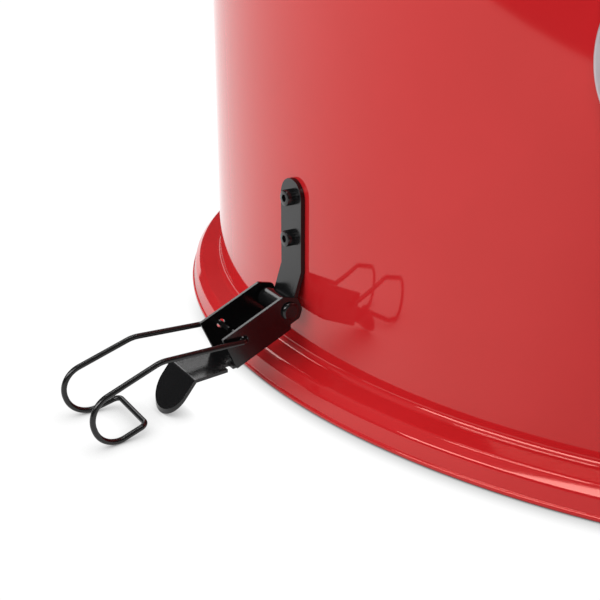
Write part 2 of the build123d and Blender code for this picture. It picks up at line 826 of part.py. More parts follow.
with BuildPart() as thermometer_case:
    with BuildSketch(wall_plane(0, thermometer_height, case_back)):
        Circle(thermometer_radius)
        Circle(spindle_hole, mode=Mode.SUBTRACT)
    extrude(amount=thermometer_back)
    with BuildSketch(wall_plane(0, thermometer_height, case_back)):
        Circle(thermometer_radius)
        Circle(case_bore, mode=Mode.SUBTRACT)
    extrude(amount=thermometer_depth)
    with BuildSketch(wall_plane(0, thermometer_height, lip_back)):
        Circle(thermometer_radius)
        Circle(thermometer_radius - thermometer_lip_width, mode=Mode.SUBTRACT)
    extrude(amount=thermometer_lip)
    fillet(
        thermometer_case.edges().filter_by(GeomType.CIRCLE).group_by(SortBy.RADIUS)[-1].sort_by(Axis.Y)[0],
        radius=thermometer_edge_round,
    )
save(thermometer_case.part, "thermometer_case")

with BuildPart() as thermometer_dial:
    with BuildSketch(wall_plane(0, thermometer_height, dial_back)):
        Circle(case_bore - fit_gap)
        Circle(spindle_hole, mode=Mode.SUBTRACT)
    extrude(amount=dial_thickness)
save(thermometer_dial.part, "thermometer_dial")

with BuildPart() as thermometer_lens:
    with BuildSketch(wall_plane(0, thermometer_height, lens_front)):
        Circle(case_bore - fit_gap)
    extrude(amount=-lens_thickness)
save(thermometer_lens.part, "thermometer_lens")

# The stem holds the bimetal coil. Its boss is screwed through the wall, and the case sits on it.
with BuildPart() as thermometer_stem:
    with BuildSketch(wall_plane(0, thermometer_height, barrel_radius)):
        Circle(stem_boss_radius)
    extrude(amount=-stem_boss_length)
    with BuildSketch(wall_plane(0, thermometer_height, barrel_radius)):
        Circle(stem_radius)
    extrude(amount=-stem_length)
    with BuildSketch(wall_plane(0, thermometer_height, barrel_radius)):
        Circle(needle_shaft_radius + fit_gap)
    extrude(amount=-stem_boss_length / 2, mode=Mode.SUBTRACT)
save(thermometer_stem.part, "thermometer_stem")

with BuildPart() as thermometer_nut:
    with BuildSketch(wall_plane(0, thermometer_height, inner_radius - 2 * face_gap)):
        RegularPolygon(stem_nut_radius, nut_side_count)
        Circle(stem_boss_radius + fit_gap, mode=Mode.SUBTRACT)
    extrude(amount=-stem_nut_thickness)
save(thermometer_nut.part, "thermometer_nut")

with BuildPart() as thermometer_needle:
    with BuildSketch(wall_plane(0, thermometer_height, needle_back, needle_rest)):
        with BuildLine():
            Polyline(
                (-needle_length / 3, -needle_half_width),
                (-needle_length / 3, needle_half_width),
                (0, needle_half_width),
                (needle_length, needle_tip_half_width),
                (needle_length, -needle_tip_half_width),
                (0, -needle_half_width),
                close=True,
            )
        make_face()
        Circle(needle_hub_radius)
    extrude(amount=dial_thickness)
    with BuildSketch(wall_plane(0, thermometer_height, needle_back)):
        Circle(needle_shaft_radius)
    extrude(amount=-(needle_back - barrel_radius + stem_boss_length / 3))
save(thermometer_needle.part, "thermometer_needle")

# --- side handles ----------------------------------------------------------

grip_axis = barrel_radius + handle_reach
arm_start = barrel_radius * cos(asin(handle_arm_offset / barrel_radius)) - handle_arm_thickness

with BuildPart() as side_handle_brackets:
    for side in (1, -1):
        for turn in (1, -1):
            with BuildSketch(Plane.XY.offset(handle_height - handle_arm_height / 2)):
                Circle(barrel_radius + handle_foot_thickness)
                with Locations((side * barrel_radius, turn * (handle_arm_offset + handle_foot_width / 3))):
                    Rectangle(handle_foot_width, handle_foot_width, mode=Mode.INTERSECT)
            extrude(amount=handle_arm_height)
            with BuildSketch(Plane.XZ.offset(-turn * handle_arm_offset)):
                with Locations((side * (arm_start + grip_axis) / 2, handle_height)):
                    Rectangle(grip_axis - arm_start, handle_arm_height)
                with Locations((side * grip_axis, handle_height)):
                    Circle(handle_arm_height / 2)
                    Circle(handle_rod_radius + fit_gap, mode=Mode.SUBTRACT)
            extrude(amount=handle_arm_thickness / 2, both=True)
    add(barrel_core, mode=Mode.SUBTRACT)
    for azimuth, height in handle_screw_places:
        with BuildSketch(wall_plane(azimuth, height, inner_radius)):
            Circle(foot_screw_radius + fit_gap)
        extrude(amount=3 * handle_foot_thickness, mode=Mode.SUBTRACT)
save(side_handle_brackets.part, "side_handle_brackets")

grip_half = handle_arm_offset - handle_arm_thickness / 2 - face_gap

with BuildPart() as side_handle_grips:
    for side in (1, -1):
        with BuildSketch(Plane.XZ.offset(-grip_half)):
            with Locations((side * grip_axis, handle_height)):
                Circle(handle_grip_radius)
                Circle(handle_rod_radius + fit_gap, mode=Mode.SUBTRACT)
        extrude(amount=2 * grip_half)
    fillet(
        [
            edge
            for edge in side_handle_grips.edges().filter_by(GeomType.CIRCLE)
            if abs(edge.radius - handle_grip_radius) < fit_gap
        ],
        radius=grip_end_round,
    )
save(side_handle_grips.part, "side_handle_grips")

rod_half = handle_arm_offset + handle_arm_thickness / 2 + face_gap

with BuildPart() as side_handle_rods:
    for side in (1, -1):
        with BuildSketch(Plane.XZ.offset(-rod_half)):
            with Locations((side * grip_axis, handle_height)):
                Circle(handle_rod_radius)
        extrude(amount=2 * rod_half)
        for turn in (1, -1):
            with BuildSketch(Plane.XZ.offset(turn * rod_half)):
                with Locations((side * grip_axis, handle_height)):
                    RegularPolygon(handle_nut_radius, nut_side_count)
            extrude(amount=turn * handle_nut_thickness)
save(side_handle_rods.part, "side_handle_rods")

foot_screw_seat = barrel_radius + handle_foot_thickness + tangent_gap
foot_screw_length = handle_foot_thickness + sheet + nut_thickness + screw_tail
hinge_screw_seat = barrel_radius + hinge_leaf + tangent_gap
hinge_screw_length = hinge_leaf + sheet + nut_thickness + screw_tail
save(
    radial_screws(
        handle_screw_places,
        foot_screw_seat,
        foot_screw_radius,
        foot_screw_length,
        foot_screw_head_radius,
        foot_screw_head_height,
        foot_screw_head_round,
    ),
    "side_handle_screws",
)
save(
    radial_nuts(
        handle_screw_places,
        inner_radius - face_gap,
        foot_screw_radius,
        foot_nut_radius,
        nut_thickness,
    ),
    "side_handle_nuts",
)

# --- lid hinge -------------------------------------------------------------

hinge_y = barrel_radius + hinge_reach
leaf_knuckle_start = hinge_inner_knuckle / 2 + hinge_side_gap

with BuildPart() as hinge_lower_leaf:
    with BuildSketch(Plane.XY.offset(hinge_leaf_bottom)):
        Circle(barrel_radius + hinge_leaf)
        with Locations((0, barrel_radius)):
            Rectangle(hinge_width, hinge_width / 2, mode=Mode.INTERSECT)
    extrude(amount=hinge_leaf_length - hinge_knuckle_radius)
    for side in (1, -1):
        width = hinge_width / 2 - leaf_knuckle_start
        with BuildSketch(Plane.YZ.offset(side * leaf_knuckle_start)):
            with BuildLine():
                Polyline(
                    (barrel_radius - hinge_root, hinge_height - hinge_web_drop),
                    (barrel_radius - hinge_root, hinge_height - hinge_knuckle_radius),
                    (hinge_y - 0.4 * hinge_knuckle_radius, hinge_height + 0.8 * hinge_knuckle_radius),
                    (hinge_y + 0.75 * hinge_knuckle_radius, hinge_height - 0.6 * hinge_knuckle_radius),
                    close=True,
                )
            make_face()
            with Locations((hinge_y, hinge_height)):
                Circle(hinge_knuckle_radius)
                Circle(hinge_pin_radius + fit_gap, mode=Mode.SUBTRACT)
        extrude(amount=side * width)
    add(barrel_core, mode=Mode.SUBTRACT)
    for azimuth, height in hinge_screw_places:
        with BuildSketch(wall_plane(azimuth, height, inner_radius)):
            Circle(foot_screw_radius + fit_gap)
        extrude(amount=3 * hinge_leaf, mode=Mode.SUBTRACT)
save(hinge_lower_leaf.part, "hinge_lower_leaf")

with BuildPart() as hinge_pin:
    with BuildSketch(Plane.YZ.offset(-hinge_width / 2 - face_gap)):
        with Locations((hinge_y, hinge_height)):
            Circle(hinge_pin_radius)
    extrude(amount=hinge_width + 2 * face_gap)
    for side in (1, -1):
        with BuildSketch(Plane.YZ.offset(side * (hinge_width / 2 + face_gap))):
            with Locations((hinge_y, hinge_height)):
                Circle(hinge_pin_head_radius)
        extrude(amount=side * hinge_pin_head)
save(hinge_pin.part, "hinge_pin")

save(
    radial_screws(
        hinge_screw_places,
        hinge_screw_seat,
        foot_screw_radius,
        hinge_screw_length,
        foot_screw_head_radius,
        foot_screw_head_height,
        foot_screw_head_round,
    ),
    "hinge_screws",
)
save(
    radial_nuts(
        hinge_screw_places,
        inner_radius - face_gap,
        foot_screw_radius,
        foot_nut_radius,
        nut_thickness,
    ),
    "hinge_nuts",
)

skirt_core = cylinder_core(lid_skirt_radius)
skirt_bottom = lid_base - lid_skirt_drop

with BuildPart() as hinge_upper_leaf:
    with BuildSketch(Plane.XY.offset(skirt_bottom + hinge_leaf_margin)):
        Circle(lid_skirt_radius + hinge_leaf)
        with Locations((0, lid_skirt_radius)):
            Rectangle(hinge_width, hinge_width / 2, mode=Mode.INTERSECT)
    extrude(amount=lid_skirt_drop - 2 * hinge_leaf_margin)
    with BuildSketch(Plane.YZ):
        with BuildLine():
            Polyline(
                (lid_skirt_radius - overlap, hinge_height + 0.5 * hinge_knuckle_radius),
                (lid_skirt_radius - overlap, lid_base - hinge_leaf_margin),
                (lid_skirt_radius + hinge_leaf, lid_base - hinge_leaf_margin),
                (hinge_y + 0.95 * hinge_knuckle_radius, hinge_height + 0.25 * hinge_knuckle_radius),
                (hinge_y - 0.5 * hinge_knuckle_radius, hinge_height - 0.5 * hinge_knuckle_radius),
                close=True,
            )
        make_face()
        with Locations((hinge_y, hinge_height)):
            Circle(hinge_knuckle_radius)
            Circle(hinge_pin_radius + fit_gap, mode=Mode.SUBTRACT)
    extrude(amount=hinge_inner_knuckle / 2, both=True)
    add(skirt_core, mode=Mode.SUBTRACT)
    for azimuth, height in lid_rivet_places:
        with BuildSketch(wall_plane(azimuth, height, lid_skirt_radius - sheet)):
            Circle(bracket_rivet_radius + fit_gap)
        extrude(amount=3 * hinge_leaf, mode=Mode.SUBTRACT)
save(hinge_upper_leaf.part, "hinge_upper_leaf")
save(
    radial_screws(
        lid_rivet_places,
        lid_skirt_radius + hinge_leaf + tangent_gap,
        bracket_rivet_radius,
        hinge_leaf + sheet,
        bracket_rivet_head_radius,
        bracket_rivet_head_height,
        bracket_rivet_head_height / 2,
    ),
    "hinge_rivets",
)

# --- lid -------------------------------------------------------------------

lid_grip_y = -(barrel_radius + lid_grip_reach)
lid_grip_z = lid_base + lid_grip_rise
dome_at_grip = dome_radius * sqrt(1 - (lid_grip_rise / dome_height) ** 2)
lid_foot_offset = lid_arm_offset + handle_foot_width / 3
lid_foot_azimuth = degrees(asin(lid_foot_offset / dome_at_grip))
dome_slope = degrees(atan2(lid_grip_rise / dome_height**2, dome_at_grip / dome_radius**2))


def dome_plane(azimuth, distance):
    """Plane square to the dome at the height of the grip, facing outwards."""
    normal = outward(azimuth) * cos(radians(dome_slope)) + Vector(0, 0, sin(radians(dome_slope)))
    origin = outward(azimuth) * dome_at_grip + Vector(0, 0, lid_grip_z) + normal * distance
    return Plane(origin=origin, x_dir=sideways(azimuth), z_dir=normal)


damper_top_plane = lid_top + lid_damper_seat_rise

with BuildPart() as lid_shell:
    with BuildSketch(Plane.XZ):
        with BuildLine():
            skirt = Polyline(
                (lid_skirt_radius - sheet, lid_base - sheet),
                (lid_skirt_radius - sheet, skirt_bottom),
                (lid_skirt_radius, skirt_bottom),
                (lid_skirt_radius, lid_base),
                (dome_radius, lid_base),
            )
            outer = EllipticalCenterArc((0, lid_base), dome_radius, dome_height, arc_size=quarter_turn)
            inner = EllipticalCenterArc(
                (0, lid_base), dome_radius - sheet, dome_height - sheet, arc_size=quarter_turn
            )
            Line(outer @ 1, inner @ 1)
            Polyline(inner @ 0, (dome_radius - sheet, lid_base - sheet), skirt @ 0)
        make_face()
    revolve(axis=Axis.Z)
    for azimuth, height in lid_rivet_places:
        with BuildSketch(wall_plane(azimuth, height, lid_skirt_radius - 2 * sheet)):
            Circle(bracket_rivet_radius + fit_gap)
        extrude(amount=3 * sheet, mode=Mode.SUBTRACT)
    for turn in (1, -1):
        with BuildSketch(dome_plane(turn * lid_foot_azimuth, -3 * sheet)):
            Circle(foot_screw_radius + fit_gap)
        extrude(amount=5 * sheet, mode=Mode.SUBTRACT)
    with BuildSketch(Plane.XY.offset(lid_top - lid_damper_cut)):
        with PolarLocations(lid_damper_hole_circle, lid_damper_hole_count):
            Circle(lid_damper_hole_radius)
        Circle(damper_rivet_radius + fit_gap)
    extrude(amount=2 * lid_damper_cut, mode=Mode.SUBTRACT)
save(lid_shell.part, "lid_shell")

lid_core = dome_core(0)

with BuildPart() as lid_damper_seat:
    with BuildSketch(Plane.XY.offset(damper_top_plane)):
        Circle(lid_damper_seat_radius)
        vent_holes(lid_damper_hole_radius, lid_damper_hole_circle, lid_damper_hole_count, 0)
        Circle(damper_rivet_radius + fit_gap, mode=Mode.SUBTRACT)
    extrude(amount=-lid_damper_cut)
    add(lid_core, mode=Mode.SUBTRACT)
save(lid_damper_seat.part, "lid_damper_seat")

lid_damper_plane = damper_top_plane + face_gap
lid_damper_top = lid_damper_plane + damper_sheet

with BuildPart() as lid_damper:
    with BuildSketch(Plane.XY.offset(lid_damper_plane)):
        Circle(lid_damper_radius)
        vent_holes(
            lid_damper_hole_radius,
            lid_damper_hole_circle,
            lid_damper_hole_count,
            180 / lid_damper_hole_count,
        )
        Circle(damper_rivet_radius + fit_gap, mode=Mode.SUBTRACT)
    extrude(amount=damper_sheet)
    with BuildSketch(Plane.XY.offset(lid_damper_plane)):
        with Locations((0, -(lid_damper_radius - damper_sheet - damper_tab_inset))):
            Rectangle(damper_tab_width, damper_sheet, align=(Align.CENTER, Align.MAX))
    extrude(amount=damper_tab_reach)
save(lid_damper.part, "lid_damper")

with BuildPart() as lid_damper_rivet:
    with BuildSketch(Plane.XY.offset(lid_damper_top + face_gap)):
        Circle(damper_rivet_radius)
    extrude(amount=-(lid_damper_top + face_gap - lid_top + sheet + damper_rivet_tail))
    with BuildSketch(Plane.XY.offset(lid_damper_top + face_gap)):
        Circle(damper_rivet_head_radius)
    extrude(amount=damper_rivet_head_height)
    with BuildSketch(Plane.XY.offset(lid_top - sheet - face_gap)):
        Circle(damper_rivet_tail_radius)
    extrude(amount=-damper_rivet_tail)
    fillet(lid_damper_rivet.faces().sort_by(Axis.Z)[-1].edges(), radius=damper_rivet_head_round)
save(lid_damper_rivet.part, "lid_damper_rivet")

with BuildPart() as lid_handle_brackets:
    for turn in (1, -1):
        with Locations((turn * (lid_arm_offset + lid_foot_shift), -dome_at_grip, lid_grip_z)):
            Box(lid_foot_width, lid_foot_depth, handle_arm_height)
    add(dome_core(handle_foot_thickness), mode=Mode.INTERSECT)
    for turn in (1, -1):
        with BuildSketch(Plane.YZ.offset(turn * lid_arm_offset)):
            with Locations(((-dome_at_grip + lid_arm_root + lid_grip_y) / 2, lid_grip_z)):
                Rectangle(-lid_grip_y - dome_at_grip + lid_arm_root, 2 * lid_grip_radius)
            with Locations((lid_grip_y, lid_grip_z)):
                Circle(lid_grip_radius)
                Circle(handle_rod_radius + fit_gap, mode=Mode.SUBTRACT)
        extrude(amount=handle_arm_thickness / 2, both=True)
    add(lid_core, mode=Mode.SUBTRACT)
    for turn in (1, -1):
        with BuildSketch(dome_plane(turn * lid_foot_azimuth, -sheet)):
            Circle(foot_screw_radius + fit_gap)
        extrude(amount=3 * handle_foot_thickness, mode=Mode.SUBTRACT)
save(lid_handle_brackets.part, "lid_handle_brackets")

lid_grip_half = lid_arm_offset - handle_arm_thickness / 2 - face_gap

with BuildPart() as lid_handle_grip:
    with BuildSketch(Plane.YZ.offset(-lid_grip_half)):
        with Locations((lid_grip_y, lid_grip_z)):
            Circle(lid_grip_radius)
    extrude(amount=2 * lid_grip_half)
    fillet(lid_handle_grip.edges(), radius=grip_end_round)
    with BuildSketch(Plane.YZ.offset(-lid_grip_half)):
        with Locations((lid_grip_y, lid_grip_z)):
            Circle(handle_rod_radius + fit_gap)
    extrude(amount=2 * lid_grip_half, mode=Mode.SUBTRACT)
save(lid_handle_grip.part, "lid_handle_grip")

lid_rod_half = lid_arm_offset + handle_arm_thickness / 2 + face_gap

with BuildPart() as lid_handle_rod:
    with BuildSketch(Plane.YZ.offset(-lid_rod_half)):
        with Locations((lid_grip_y, lid_grip_z)):
            Circle(handle_rod_radius)
    extrude(amount=2 * lid_rod_half)
    for turn in (1, -1):
        with BuildSketch(Plane.YZ.offset(turn * lid_rod_half)):
            with Locations((lid_grip_y, lid_grip_z)):
                RegularPolygon(handle_nut_radius, nut_side_count)
        extrude(amount=turn * handle_nut_thickness)
save(lid_handle_rod.part, "lid_handle_rod")

with BuildPart() as lid_handle_screws:
    for turn in (1, -1):
        with BuildSketch(dome_plane(turn * lid_foot_azimuth, handle_foot_thickness + face_gap)):
            Circle(foot_screw_radius)
        extrude(amount=-foot_screw_length)
        with BuildSketch(dome_plane(turn * lid_foot_azimuth, handle_foot_thickness + face_gap)):
            Circle(foot_screw_head_radius)
        extrude(amount=foot_screw_head_height)
save(lid_handle_screws.part, "lid_handle_screws")

with BuildPart() as lid_handle_nuts:
    for turn in (1, -1):
        with BuildSketch(dome_plane(turn * lid_foot_azimuth, -sheet - 2 * face_gap)):
            RegularPolygon(foot_nut_radius, nut_side_count)
            Circle(foot_screw_radius + fit_gap, mode=Mode.SUBTRACT)
        extrude(amount=-nut_thickness)
save(lid_handle_nuts.part, "lid_handle_nuts")
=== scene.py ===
import json
import math

import bmesh
import bpy
from mathutils import Matrix, Vector


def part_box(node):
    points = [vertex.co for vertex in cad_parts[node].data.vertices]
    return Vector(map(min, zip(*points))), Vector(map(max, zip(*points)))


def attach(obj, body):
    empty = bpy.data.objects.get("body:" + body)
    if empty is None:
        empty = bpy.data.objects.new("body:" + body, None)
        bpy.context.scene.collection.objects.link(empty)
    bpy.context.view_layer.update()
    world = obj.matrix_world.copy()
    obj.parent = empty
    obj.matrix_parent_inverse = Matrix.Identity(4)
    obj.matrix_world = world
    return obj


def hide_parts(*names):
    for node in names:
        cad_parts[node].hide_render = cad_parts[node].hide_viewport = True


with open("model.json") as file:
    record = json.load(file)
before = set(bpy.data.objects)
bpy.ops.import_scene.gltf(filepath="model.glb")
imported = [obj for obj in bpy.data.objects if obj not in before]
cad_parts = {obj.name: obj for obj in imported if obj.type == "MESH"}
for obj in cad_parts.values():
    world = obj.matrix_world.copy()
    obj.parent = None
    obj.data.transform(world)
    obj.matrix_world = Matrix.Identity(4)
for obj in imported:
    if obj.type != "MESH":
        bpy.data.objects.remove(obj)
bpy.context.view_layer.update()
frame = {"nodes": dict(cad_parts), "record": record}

scene = bpy.context.scene
record = frame["record"]
bodyOf = {node: body for body, nodes in record["behaviour"]["bodies"].items() for node in nodes}
slotOf = {part["node"]: part["material_slot"] for part in record["subparts"]}
mm = 0.001
weld = 1e-6      # points nearer than this become one
flatWithin = 0.4  # degrees between faces that count as one flat


# ---- finishes

def fromHex(code):
    channels = [int(code[i:i + 2], 16) / 255 for i in (1, 3, 5)]
    linear = [c / 12.92 if c <= 0.04045 else ((c + 0.055) / 1.055) ** 2.4 for c in channels]
    return (*linear, 1.0)


def addNode(tree, kind, settings=None, links=None):
    node = tree.nodes.new(kind)
    for name, value in (settings or {}).items():
        if hasattr(node, name):
            setattr(node, name, value)
        else:
            node.inputs[name].default_value = value
    for name, source in (links or {}).items():
        tree.links.new(source, node.inputs[name])
    return node


def newFinish(name, settings):
    finish = bpy.data.materials.new(name)
    finish.use_nodes = True
    tree = finish.node_tree
    shader = tree.nodes["Principled BSDF"]
    for socket, value in settings.items():
        shader.inputs[socket].default_value = value
    place = addNode(tree, "ShaderNodeTexCoord")
    return finish, tree, shader, place.outputs["Object"]


def addRelief(tree, shader, height, distance, strength):
    relief = addNode(tree, "ShaderNodeBump", {"Distance": distance, "Strength": strength}, {"Height": height})
    tree.links.new(relief.outputs["Normal"], shader.inputs["Normal"])
    return relief


def colourMix(tree, factor, first, second):
    mix = addNode(tree, "ShaderNodeMix", {"data_type": "RGBA"})
    mix.inputs[6].default_value = first
    mix.inputs[7].default_value = second
    tree.links.new(factor, mix.inputs[0])
    return mix.outputs[2]


def addNoise(tree, place, scale, detail, roughness=0.5):
    settings = {"Scale": scale, "Detail": detail, "Roughness": roughness}
    return addNode(tree, "ShaderNodeTexNoise", settings, {"Vector": place}).outputs["Fac"]


def mixTones(tree, shader, factor, dark, light):
    tree.links.new(colourMix(tree, factor, fromHex(dark), fromHex(light)), shader.inputs["Base Color"])


def varyRoughness(tree, shader, factor, least, most):
    span = addNode(tree, "ShaderNodeMapRange", {"To Min": least, "To Max": most}, {"Value": factor})
    tree.links.new(span.outputs["Result"], shader.inputs["Roughness"])


def makeRedEnamel():
    # porcelain enamel fired on drawn steel
    # its reflections are tinted by choice, as plain ones look too pale on it
    finish, tree, shader, place = newFinish("redPorcelainEnamel", {
        "Roughness": 0.05, "IOR": 1.79, "Specular Tint": (1.0, 0.5, 0.44, 1.0)})
    flow = addNoise(tree, place, 28.0, 2.0)
    speck = addNoise(tree, place, 900.0, 2.0)
    mixTones(tree, shader, flow, "#BC1F22", "#C42328")
    varyRoughness(tree, shader, speck, 0.035, 0.06)
    addRelief(tree, shader, flow, 0.02 * mm, 0.35)
    return finish


def makeBlackEnamel():
    # the same glassy enamel in black, on the bowl and the ash pan
    finish, tree, shader, place = newFinish("blackPorcelainEnamel", {"Roughness": 0.12, "IOR": 1.5})
    speck = addNoise(tree, place, 700.0, 3.0)
    dust = addNoise(tree, place, 9.0, 6.0, 0.6)
    mixTones(tree, shader, dust, "#0E0E0F", "#1A1A1B")
    varyRoughness(tree, shader, dust, 0.08, 0.26)
    addRelief(tree, shader, speck, 0.02 * mm, 0.4)
    return finish


def makePowderCoat():
    # satin black powder coat on pressed steel, with the fine grain that the powder leaves
    finish, tree, shader, place = newFinish("satinBlackPowderCoat", {"Roughness": 0.18, "IOR": 1.5})
    grain = addNoise(tree, place, 1800.0, 3.0, 0.6)
    cloud = addNoise(tree, place, 60.0, 3.0)
    mixTones(tree, shader, cloud, "#0B0B0C", "#131314")
    varyRoughness(tree, shader, cloud, 0.15, 0.21)
    addRelief(tree, shader, grain, 0.03 * mm, 0.5)
    return finish


def makeWireCoat():
    # baked black lacquer on drawn spring wire
    finish, tree, shader, place = newFinish("bakedBlackLacquer", {"Roughness": 0.2, "IOR": 1.5})
    grain = addNoise(tree, place, 900.0, 2.0)
    mixTones(tree, shader, grain, "#080808", "#111111")
    varyRoughness(tree, shader, grain, 0.16, 0.28)
    addRelief(tree, shader, grain, 0.02 * mm, 0.4)
    return finish


def makeChrome():
    # bright plated rod, with the faint waves of drawn wire
    finish, tree, shader, place = newFinish("brightPlatedRod", {"Metallic": 1.0, "Roughness": 0.12})
    shader.inputs["Base Color"].default_value = fromHex("#D0D1D3")
    wave = addNoise(tree, place, 120.0, 4.0)
    varyRoughness(tree, shader, wave, 0.08, 0.24)
    addRelief(tree, shader, wave, 0.03 * mm, 0.4)
    return finish


def makePlainSteel():
    # hot rolled rod with its grey brown scale
    finish, tree, shader, place = newFinish("hotRolledRod", {"Metallic": 0.8, "Roughness": 0.5})
    scale = addNoise(tree, place, 70.0, 8.0, 0.65)
    mixTones(tree, shader, scale, "#3B3836", "#77716C")
    varyRoughness(tree, shader, scale, 0.38, 0.7)
    addRelief(tree, shader, scale, 0.1 * mm, 0.6)
    return finish


def makeStainless():
    # brushed stainless: the brush lines run round the barrel, so they are stretched flat in height
    finish, tree, shader, place = newFinish("brushedStainless", {"Metallic": 1.0, "Roughness": 0.3})
    squeeze = addNode(tree, "ShaderNodeMapping", {"vector_type": "POINT"}, {"Vector": place})
    squeeze.inputs["Scale"].default_value = (40.0, 40.0, 3500.0)
    lines = addNoise(tree, squeeze.outputs["Vector"], 1.0, 3.0)
    mixTones(tree, shader, lines, "#A9A8A5", "#C9C8C6")
    varyRoughness(tree, shader, lines, 0.22, 0.38)
    addRelief(tree, shader, lines, 0.02 * mm, 0.3)
    return finish


def makeCaseSteel():
    # bead blasted stainless: no lines, and no mirror left in it
    finish, tree, shader, place = newFinish("blastedCaseSteel", {"Metallic": 1.0, "Roughness": 0.5})
    haze = addNoise(tree, place, 260.0, 4.0)
    mixTones(tree, shader, haze, "#CFC6CB", "#D9D1D6")
    varyRoughness(tree, shader, haze, 0.46, 0.56)
    addRelief(tree, shader, haze, 0.01 * mm, 0.3)
    return finish


def makeNylon():
    # moulded glass filled nylon with the fine spark texture of its mould
    finish, tree, shader, place = newFinish("mouldedNylon", {"Roughness": 0.48, "IOR": 1.53})
    spark = addNode(tree, "ShaderNodeTexVoronoi", {"Scale": 1100.0}, {"Vector": place}).outputs["Distance"]
    mixTones(tree, shader, spark, "#161616", "#222223")
    varyRoughness(tree, shader, spark, 0.4, 0.56)
    addRelief(tree, shader, spark, 0.05 * mm, 0.5)
    return finish


def makeGlass():
    # flat clear soda glass
    finish, tree, shader, place = newFinish("clearSodaGlass", {
        "Roughness": 0.0, "IOR": 1.46, "Transmission Weight": 1.0})
    shader.inputs["Base Color"].default_value = fromHex("#FBFDFC")
    varyRoughness(tree, shader, addNoise(tree, place, 35.0, 2.0), 0.0, 0.03)
    return finish


def makePaint(name, dark, light, roughness, grainScale):
    # screen printed or brushed paint: flat, a little uneven
    finish, tree, shader, place = newFinish(name, {"Roughness": roughness, "IOR": 1.5})
    grain = addNoise(tree, place, grainScale, 3.0)
    mixTones(tree, shader, grain, dark, light)
    addRelief(tree, shader, grain, 0.01 * mm, 0.3)
    return finish


finishes = {
    "red_enamel": makeRedEnamel(),
    "black_enamel": makeBlackEnamel(),
    "black_coated_steel": makePowderCoat(),
    "black_wire": makeWireCoat(),
    "chrome_plate": makeChrome(),
    "plain_steel": makePlainSteel(),
    "stainless": makeStainless(),
    "black_plastic": makeNylon(),
    "clear_glass": makeGlass(),
    "white_dial": makePaint("dialPaint", "#E6E6E4", "#EFEFED", 0.5, 400.0),
    "red_needle": makePaint("needleLacquer", "#A81418", "#B5191D", 0.3, 600.0),
}
dialInk = makePaint("dialInk", "#141414", "#1D1D1D", 0.55, 900.0)
caseSteel = makeCaseSteel()


def finishFor(nodeName):
    return caseSteel if nodeName == "thermometer_case" else finishes[slotOf[nodeName]]


for nodeName, node in frame["nodes"].items():
    node.data.materials.clear()
    node.data.materials.append(finishFor(nodeName))
print("finishes made:", len(finishes) + 2)


# ---- making pieces

def addPiece(name, bm, finish, body, sharp=32):
    mesh = bpy.data.meshes.new(name)
    bm.to_mesh(mesh)
    bm.free()
    mesh.materials.append(finish)
    mesh.polygons.foreach_set("use_smooth", [True] * len(mesh.polygons))
    mesh.set_sharp_from_angle(angle=math.radians(sharp))
    piece = bpy.data.objects.new(name, mesh)
    scene.collection.objects.link(piece)
    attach(piece, body)
    return piece


def keepFlats(piece):
    # big faces keep their own normal, so only the eased edges catch the light
    flats = piece.modifiers.new("flats", "WEIGHTED_NORMAL")
    flats.keep_sharp = True
    return piece


def dressNode(nodeName, edge=0.0, steps=2, sharp=32):
    # a merged copy of a CAD node with its hard edges eased
    bm = bmesh.new()
    bm.from_mesh(frame["nodes"][nodeName].data)
    bmesh.ops.remove_doubles(bm, verts=bm.verts, dist=weld)
    bmesh.ops.dissolve_limit(bm, angle_limit=math.radians(flatWithin), verts=bm.verts, edges=bm.edges)
    if edge:
        hard = [e for e in bm.edges if e.is_manifold and e.calc_face_angle() > math.radians(sharp)]
        bmesh.ops.bevel(bm, geom=hard, offset=edge, offset_type="OFFSET", segments=steps, profile=0.5,
                        affect="EDGES", clamp_overlap=True, material=-1)
    piece = addPiece(nodeName + "Dressed", bm, finishFor(nodeName), bodyOf[nodeName], sharp)
    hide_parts(nodeName)
    return keepFlats(piece)


def spinOutline(bm, corners, closed, segments):
    # corners are (radius, height, rounding); each rounded corner becomes a small arc, then all is spun
    verts = [bm.verts.new((corner[0], 0, corner[1])) for corner in corners]
    edges = [bm.edges.new((verts[i], verts[i + 1])) for i in range(len(verts) - 1)]
    if closed:
        edges.append(bm.edges.new((verts[-1], verts[0])))
    outline = set(verts)
    for vert, corner in zip(verts, corners):
        if corner[2] and len(vert.link_edges) == 2:
            sides = [edge.other_vert(vert).co - vert.co for edge in vert.link_edges]
            turn = math.pi - sides[0].angle(sides[1])
            setback = corner[2] * math.tan(turn / 2)
            steps = max(3, int(math.degrees(turn) / 5))
            made = bmesh.ops.bevel(bm, geom=[vert], offset=setback, offset_type="OFFSET", segments=steps,
                                   profile=0.5, affect="VERTICES", clamp_overlap=False, material=-1)
            outline.discard(vert)
            outline.update(made["verts"])
    chain = [vert for vert in bm.verts if vert in outline]
    line = [edge for edge in bm.edges if edge.verts[0] in outline and edge.verts[1] in outline]
    bmesh.ops.spin(bm, geom=chain + line, cent=(0, 0, 0), axis=(0, 0, 1), angle=math.tau,
                   steps=segments, use_merge=True)


def spinRing(bm, centre, radius, steps, segments):
    place = Matrix.Translation((centre[0], 0, centre[1])) @ Matrix.Rotation(math.pi / 2, 4, "X")
    ring = bmesh.ops.create_circle(bm, segments=steps, radius=radius, matrix=place)
    edges = list(dict.fromkeys(edge for vert in ring["verts"] for edge in vert.link_edges))
    bmesh.ops.spin(bm, geom=ring["verts"] + edges, cent=(0, 0, 0), axis=(0, 0, 1), angle=math.tau,
                   steps=segments, use_merge=True)


def outward(azimuth):
    return Vector((math.sin(math.radians(azimuth)), -math.cos(math.radians(azimuth)), 0))


